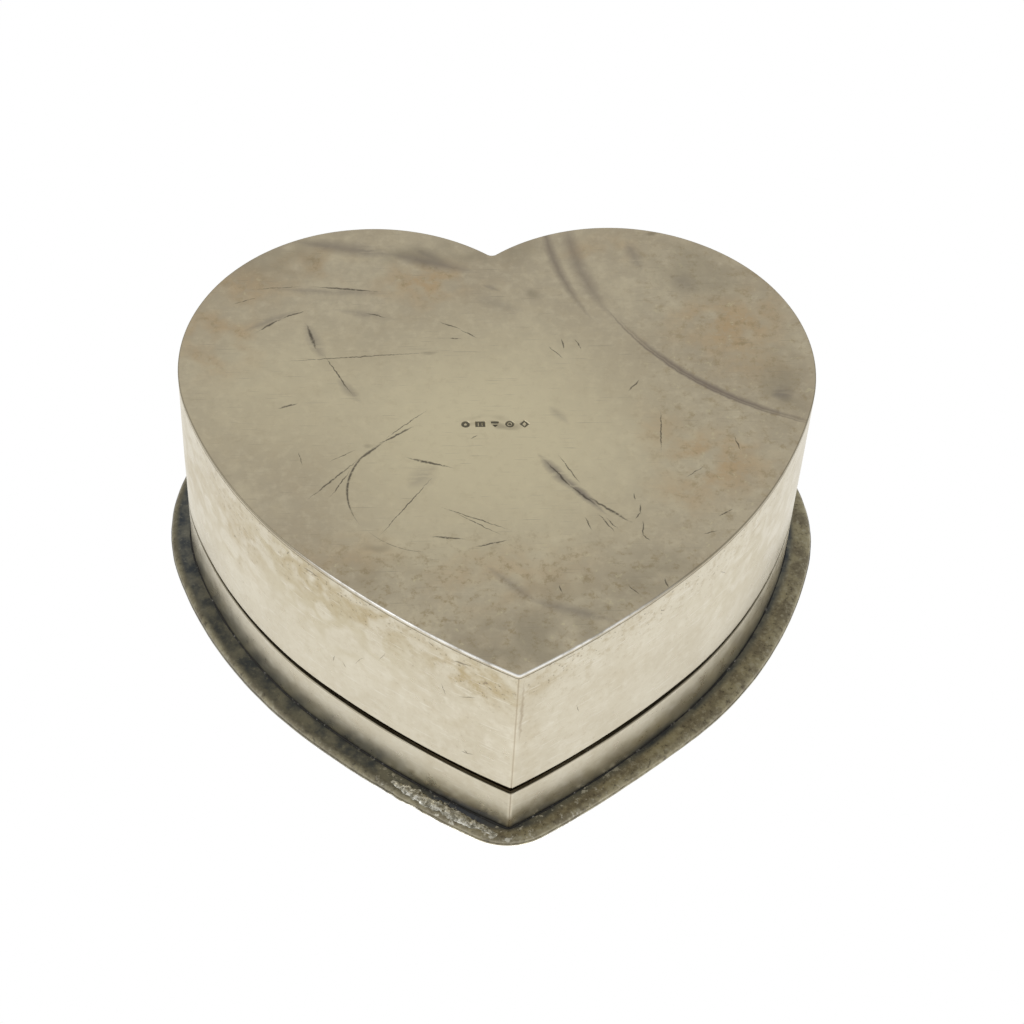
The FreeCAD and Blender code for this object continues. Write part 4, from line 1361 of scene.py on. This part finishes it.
# %% Solder and hinge finishes
solder, tree, shader = open_metal("solder_with_painted_shade")
spot = in_mm(tree)
speck = ease(tree, clouds(tree, spot, 1.3, 4.0, 0.7), 0.58, 0.68)
# nearly black: tarnished solder with painted shade for the corner under the eave
black = colours(tree, clouds(tree, spot, 1.1, 3.0), (0.025, 0.025, 0.027, 1), (0.07, 0.067, 0.06, 1))
colour = colours(tree, speck, black, (0.36, 0.35, 0.32, 1))
close_metal(tree, shader, colour, 0.6, speck, strength=0.5)

flood_silver, tree, shader = open_metal("flooded_solder")
spot = in_mm(tree)
speck = ease(tree, clouds(tree, spot, 1.5, 5.0, 0.7), 0.4, 0.62)
black = colours(tree, clouds(tree, spot, 0.9, 3.0), (0.13, 0.125, 0.10, 1), (0.32, 0.30, 0.23, 1))
colour = colours(tree, speck, black, (0.74, 0.73, 0.66, 1))
close_metal(tree, shader, colour, 0.26, speck, strength=0.6, distance=0.0001)

hinge_silver, tree, shader = open_metal("hinge_silver_worn")
spot = in_mm(tree)
grain = clouds(tree, spot, 1.2, 6.0, 0.6)
pits = use(tree, PITS, place=spot, scale=2.2, amount=0.25)
colour = colours(tree, grain, (0.66, 0.62, 0.52, 1), (0.50, 0.46, 0.36, 1))
colour = colours(tree, sums(tree, "MULTIPLY", pits, 0.6), colour, (0.14, 0.12, 0.09, 1))
rough = sums(tree, "MULTIPLY_ADD", grain, 0.25, 0.2)
close_metal(tree, shader, colour, rough, grain, strength=0.3)
print("solder and hinge finishes are ready")

# %% [markdown]
# ## Give every piece its finish
# Inside, the walls and the floor are gilt like the bezel, and so are the skirt and the hollow of the
# lid. A second skin of gilt would double every surface, so a face that looks inwards takes the gilt
# as its piece's second material.


# %% Put the materials on
def coat(piece, outer, inner=None, is_inner=None):
    """Gives a piece its finish, and another one to the faces inside the box."""
    piece.data.materials.clear()
    piece.data.materials.append(outer)
    if inner is None:
        return
    piece.data.materials.append(inner)
    for face in piece.data.polygons:
        if is_inner(face):
            face.material_index = 1


def inner_side(piece, depth):
    """A test for the faces on a band's inner side."""
    out = piece.data.attributes["out_mm"].data
    return lambda face: all(out[corner].value < depth + 0.01 for corner in face.vertices)


def looks_down(face):
    """True for faces under the lid, with the low step round its hollow."""
    return face.normal.z < -0.2 or face.center.z < (rim_top + 0.2) * MM and abs(face.normal.z) < 0.6


def within_skirt(face):
    """True for faces that the closed lid hides inside the skirt."""
    out = lid_piece.data.attributes["out_mm"].data
    return all(out[corner].value < -SKIRT_THICK for corner in face.vertices)


coat(base_piece, base_silver, gilt, lambda face: face.normal.z > 0.9)
for piece in walls:
    coat(piece, wall_silver, gilt, inner_side(piece, -WALL_THICK))
for piece in skirts:
    coat(piece, wall_silver, gilt, inner_side(piece, -SKIRT_THICK))
for piece in bezels:
    coat(piece, gilt)
coat(lid_piece, lid_silver, gilt, lambda face: looks_down(face) and within_skirt(face))
coat(fillet, solder)
coat(flood, flood_silver)
for piece in hinge_pieces:
    coat(piece, hinge_silver)
for leaf in leaves:
    leaf.data.materials.clear()
    leaf.data.materials.append(hinge_silver)
print("finishes are on")

# %% [markdown]
# ## The stage
# A soft white studio. The sky that the metal reflects is bright all round the sides, grey below and
# a little dimmer straight up, and slightly darker low at the back: polished plates need something
# darker than white to show their shape against. What the camera sees behind the box is plain white.

# %% The surroundings that the metal reflects
world = bpy.data.worlds.new("soft_studio")
bpy.context.scene.world = world
world.use_nodes = True
tree = world.node_tree
tree.nodes.clear()
direction = tree.nodes.new("ShaderNodeTexCoord").outputs["Generated"]


def patch_towards(centre, start, end):
    """A soft round patch of the sky; start and end are cosines from its centre."""
    toward_it = vectors(tree, "DOT_PRODUCT", direction, Vector(centre).normalized(), output=1)
    return ease(tree, toward_it, start, end)


SKY_BELOW, SKY_SIDES, SKY_DIMMER = 0.62, 0.98, 0.3
up = parts_of(tree, direction, "z")
bright = ease(tree, up, -0.35, 0.1, SKY_BELOW, SKY_SIDES)
bright = sums(tree, "SUBTRACT", bright, ease(tree, up, 0.88, 1.0, 0.0, SKY_DIMMER))
low_back = patch_towards((0.0, 0.62, -0.78), 0.45, 0.95)
bright = sums(tree, "MULTIPLY_ADD", low_back, -0.03, bright)
light = joined(tree, bright, sums(tree, "MULTIPLY", bright, 0.995), sums(tree, "MULTIPLY", bright, 0.975))
seen = tree.nodes.new("ShaderNodeBackground")
seen.inputs["Color"].default_value = (1, 1, 1, 1)
shines = tree.nodes.new("ShaderNodeBackground")
feed(tree, shines.inputs["Color"], light)
either = tree.nodes.new("ShaderNodeMixShader")
feed(tree, either.inputs[0], tree.nodes.new("ShaderNodeLightPath").outputs["Is Camera Ray"])
feed(tree, either.inputs[1], shines.outputs[0])
feed(tree, either.inputs[2], seen.outputs[0])
feed(tree, tree.nodes.new("ShaderNodeOutputWorld").inputs["Surface"], either.outputs[0])
bpy.context.scene.view_settings.view_transform = "Standard"
print("sky nodes:", len(tree.nodes))

# %% [markdown]
# The floor is a pale disc that fades out towards its rim. It is fully transparent from below, so
# that the camera can look up through it. It is left out of the reflections and casts no shadow.

# %% Floor
FLOOR_RADIUS = 420.0
FLOOR_DROP = 0.1
shape = bmesh.new()
bmesh.ops.create_circle(shape, cap_ends=True, segments=96, radius=FLOOR_RADIUS * MM)
for vertex in shape.verts:
    vertex.co.z = -FLOOR_DROP * MM
floor_mesh = bpy.data.meshes.new("pale_floor")
shape.to_mesh(floor_mesh)
shape.free()
floor = bpy.data.objects.new("pale_floor", floor_mesh)
bpy.context.scene.collection.objects.link(floor)
paint = bpy.data.materials.new("pale_floor_paint")
paint.use_nodes = True
tree = paint.node_tree
shader = tree.nodes["Principled BSDF"]
shader.inputs["Base Color"].default_value = (0.86, 0.86, 0.85, 1)
shader.inputs["Roughness"].default_value = 0.9
from_middle = vectors(tree, "LENGTH", in_mm(tree), output=1)
fade = ease(tree, from_middle, FLOOR_RADIUS * 0.98, FLOOR_RADIUS * 0.35)
front = sums(tree, "SUBTRACT", 1.0, tree.nodes.new("ShaderNodeNewGeometry").outputs["Backfacing"])
feed(tree, shader.inputs["Alpha"], sums(tree, "MULTIPLY", fade, front))
floor_mesh.materials.append(paint)
floor.visible_glossy = False
floor.visible_shadow = False
floor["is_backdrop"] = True
print("floor of", FLOOR_RADIUS * 2, "mm")

# %% [markdown]
# Two large soft lights are enough. One hangs overhead, and one is low at the side to put a glow on
# one flank. Small hard lamps would leave sharp glints that old, dull silver doesn't show.


# %% Soft lights
def softbox(name, place, aim, size, watts):
    """A square area light, placed and aimed in millimetres."""
    lamp = bpy.data.lights.new(name, "AREA")
    lamp.size, lamp.energy = size * MM, watts
    holder = bpy.data.objects.new(name, lamp)
    holder.location = Vector(place) * MM
    holder.rotation_mode = "QUATERNION"
    holder.rotation_quaternion = (Vector(aim) - Vector(place)).to_track_quat("-Z", "Y")
    bpy.context.scene.collection.objects.link(holder)
    return holder


lights = [
    softbox("overhead_soft", (0, 10, 620), (0, 0, 0), 360, 2.4),
    softbox("low_side_soft", (420, -120, -160), (0, 0, 10), 320, 0.4),
]
print(len(lights), "softboxes")

# %% [markdown]
# ## The camera
# The box is best known from its worn underside, so the camera looks up at it from in front and
# below, and is rolled over so that the point of the heart is at the bottom of the picture.

# %% Camera
AZIMUTH = math.radians(5.552)
ELEVATION = math.radians(-49.094)
ROLL = math.radians(176.467)
CAMERA_AWAY = 317.75
FOCAL_LENGTH = 89.39
CAMERA_AIM = Vector((-0.432, -13.539, 0.0))
back = Vector((math.sin(AZIMUTH) * math.cos(ELEVATION),
               -math.cos(AZIMUTH) * math.cos(ELEVATION), math.sin(ELEVATION)))
level_right = Vector((math.cos(AZIMUTH), math.sin(AZIMUTH), 0))
level_up = back.cross(level_right)
up_way = level_up * math.cos(ROLL) + level_right * math.sin(ROLL)
right_way = up_way.cross(back)
lens = bpy.data.cameras.new("bench_camera")
lens.lens = FOCAL_LENGTH
lens.sensor_width = 36.0
lens.clip_start = 0.01
camera = bpy.data.objects.new("bench_camera", lens)
turned_to = Matrix((right_way, up_way, back)).transposed().to_4x4()
camera.matrix_world = Matrix.Translation((CAMERA_AIM + back * CAMERA_AWAY) * MM) @ turned_to
bpy.context.scene.collection.objects.link(camera)
bpy.context.scene.camera = camera
print("camera at", tuple(round(c) for c in camera.matrix_world.translation / MM), "mm")

# %% [markdown]
# ## The size of the box
# The CAD box and the finished box are listed side by side. The last line gives both.

# %% Sizes
boxes = {"cad": cad_bounds, "visual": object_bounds()}
{word: [list(corner) for corner in pair] for word, pair in boxes.items()}
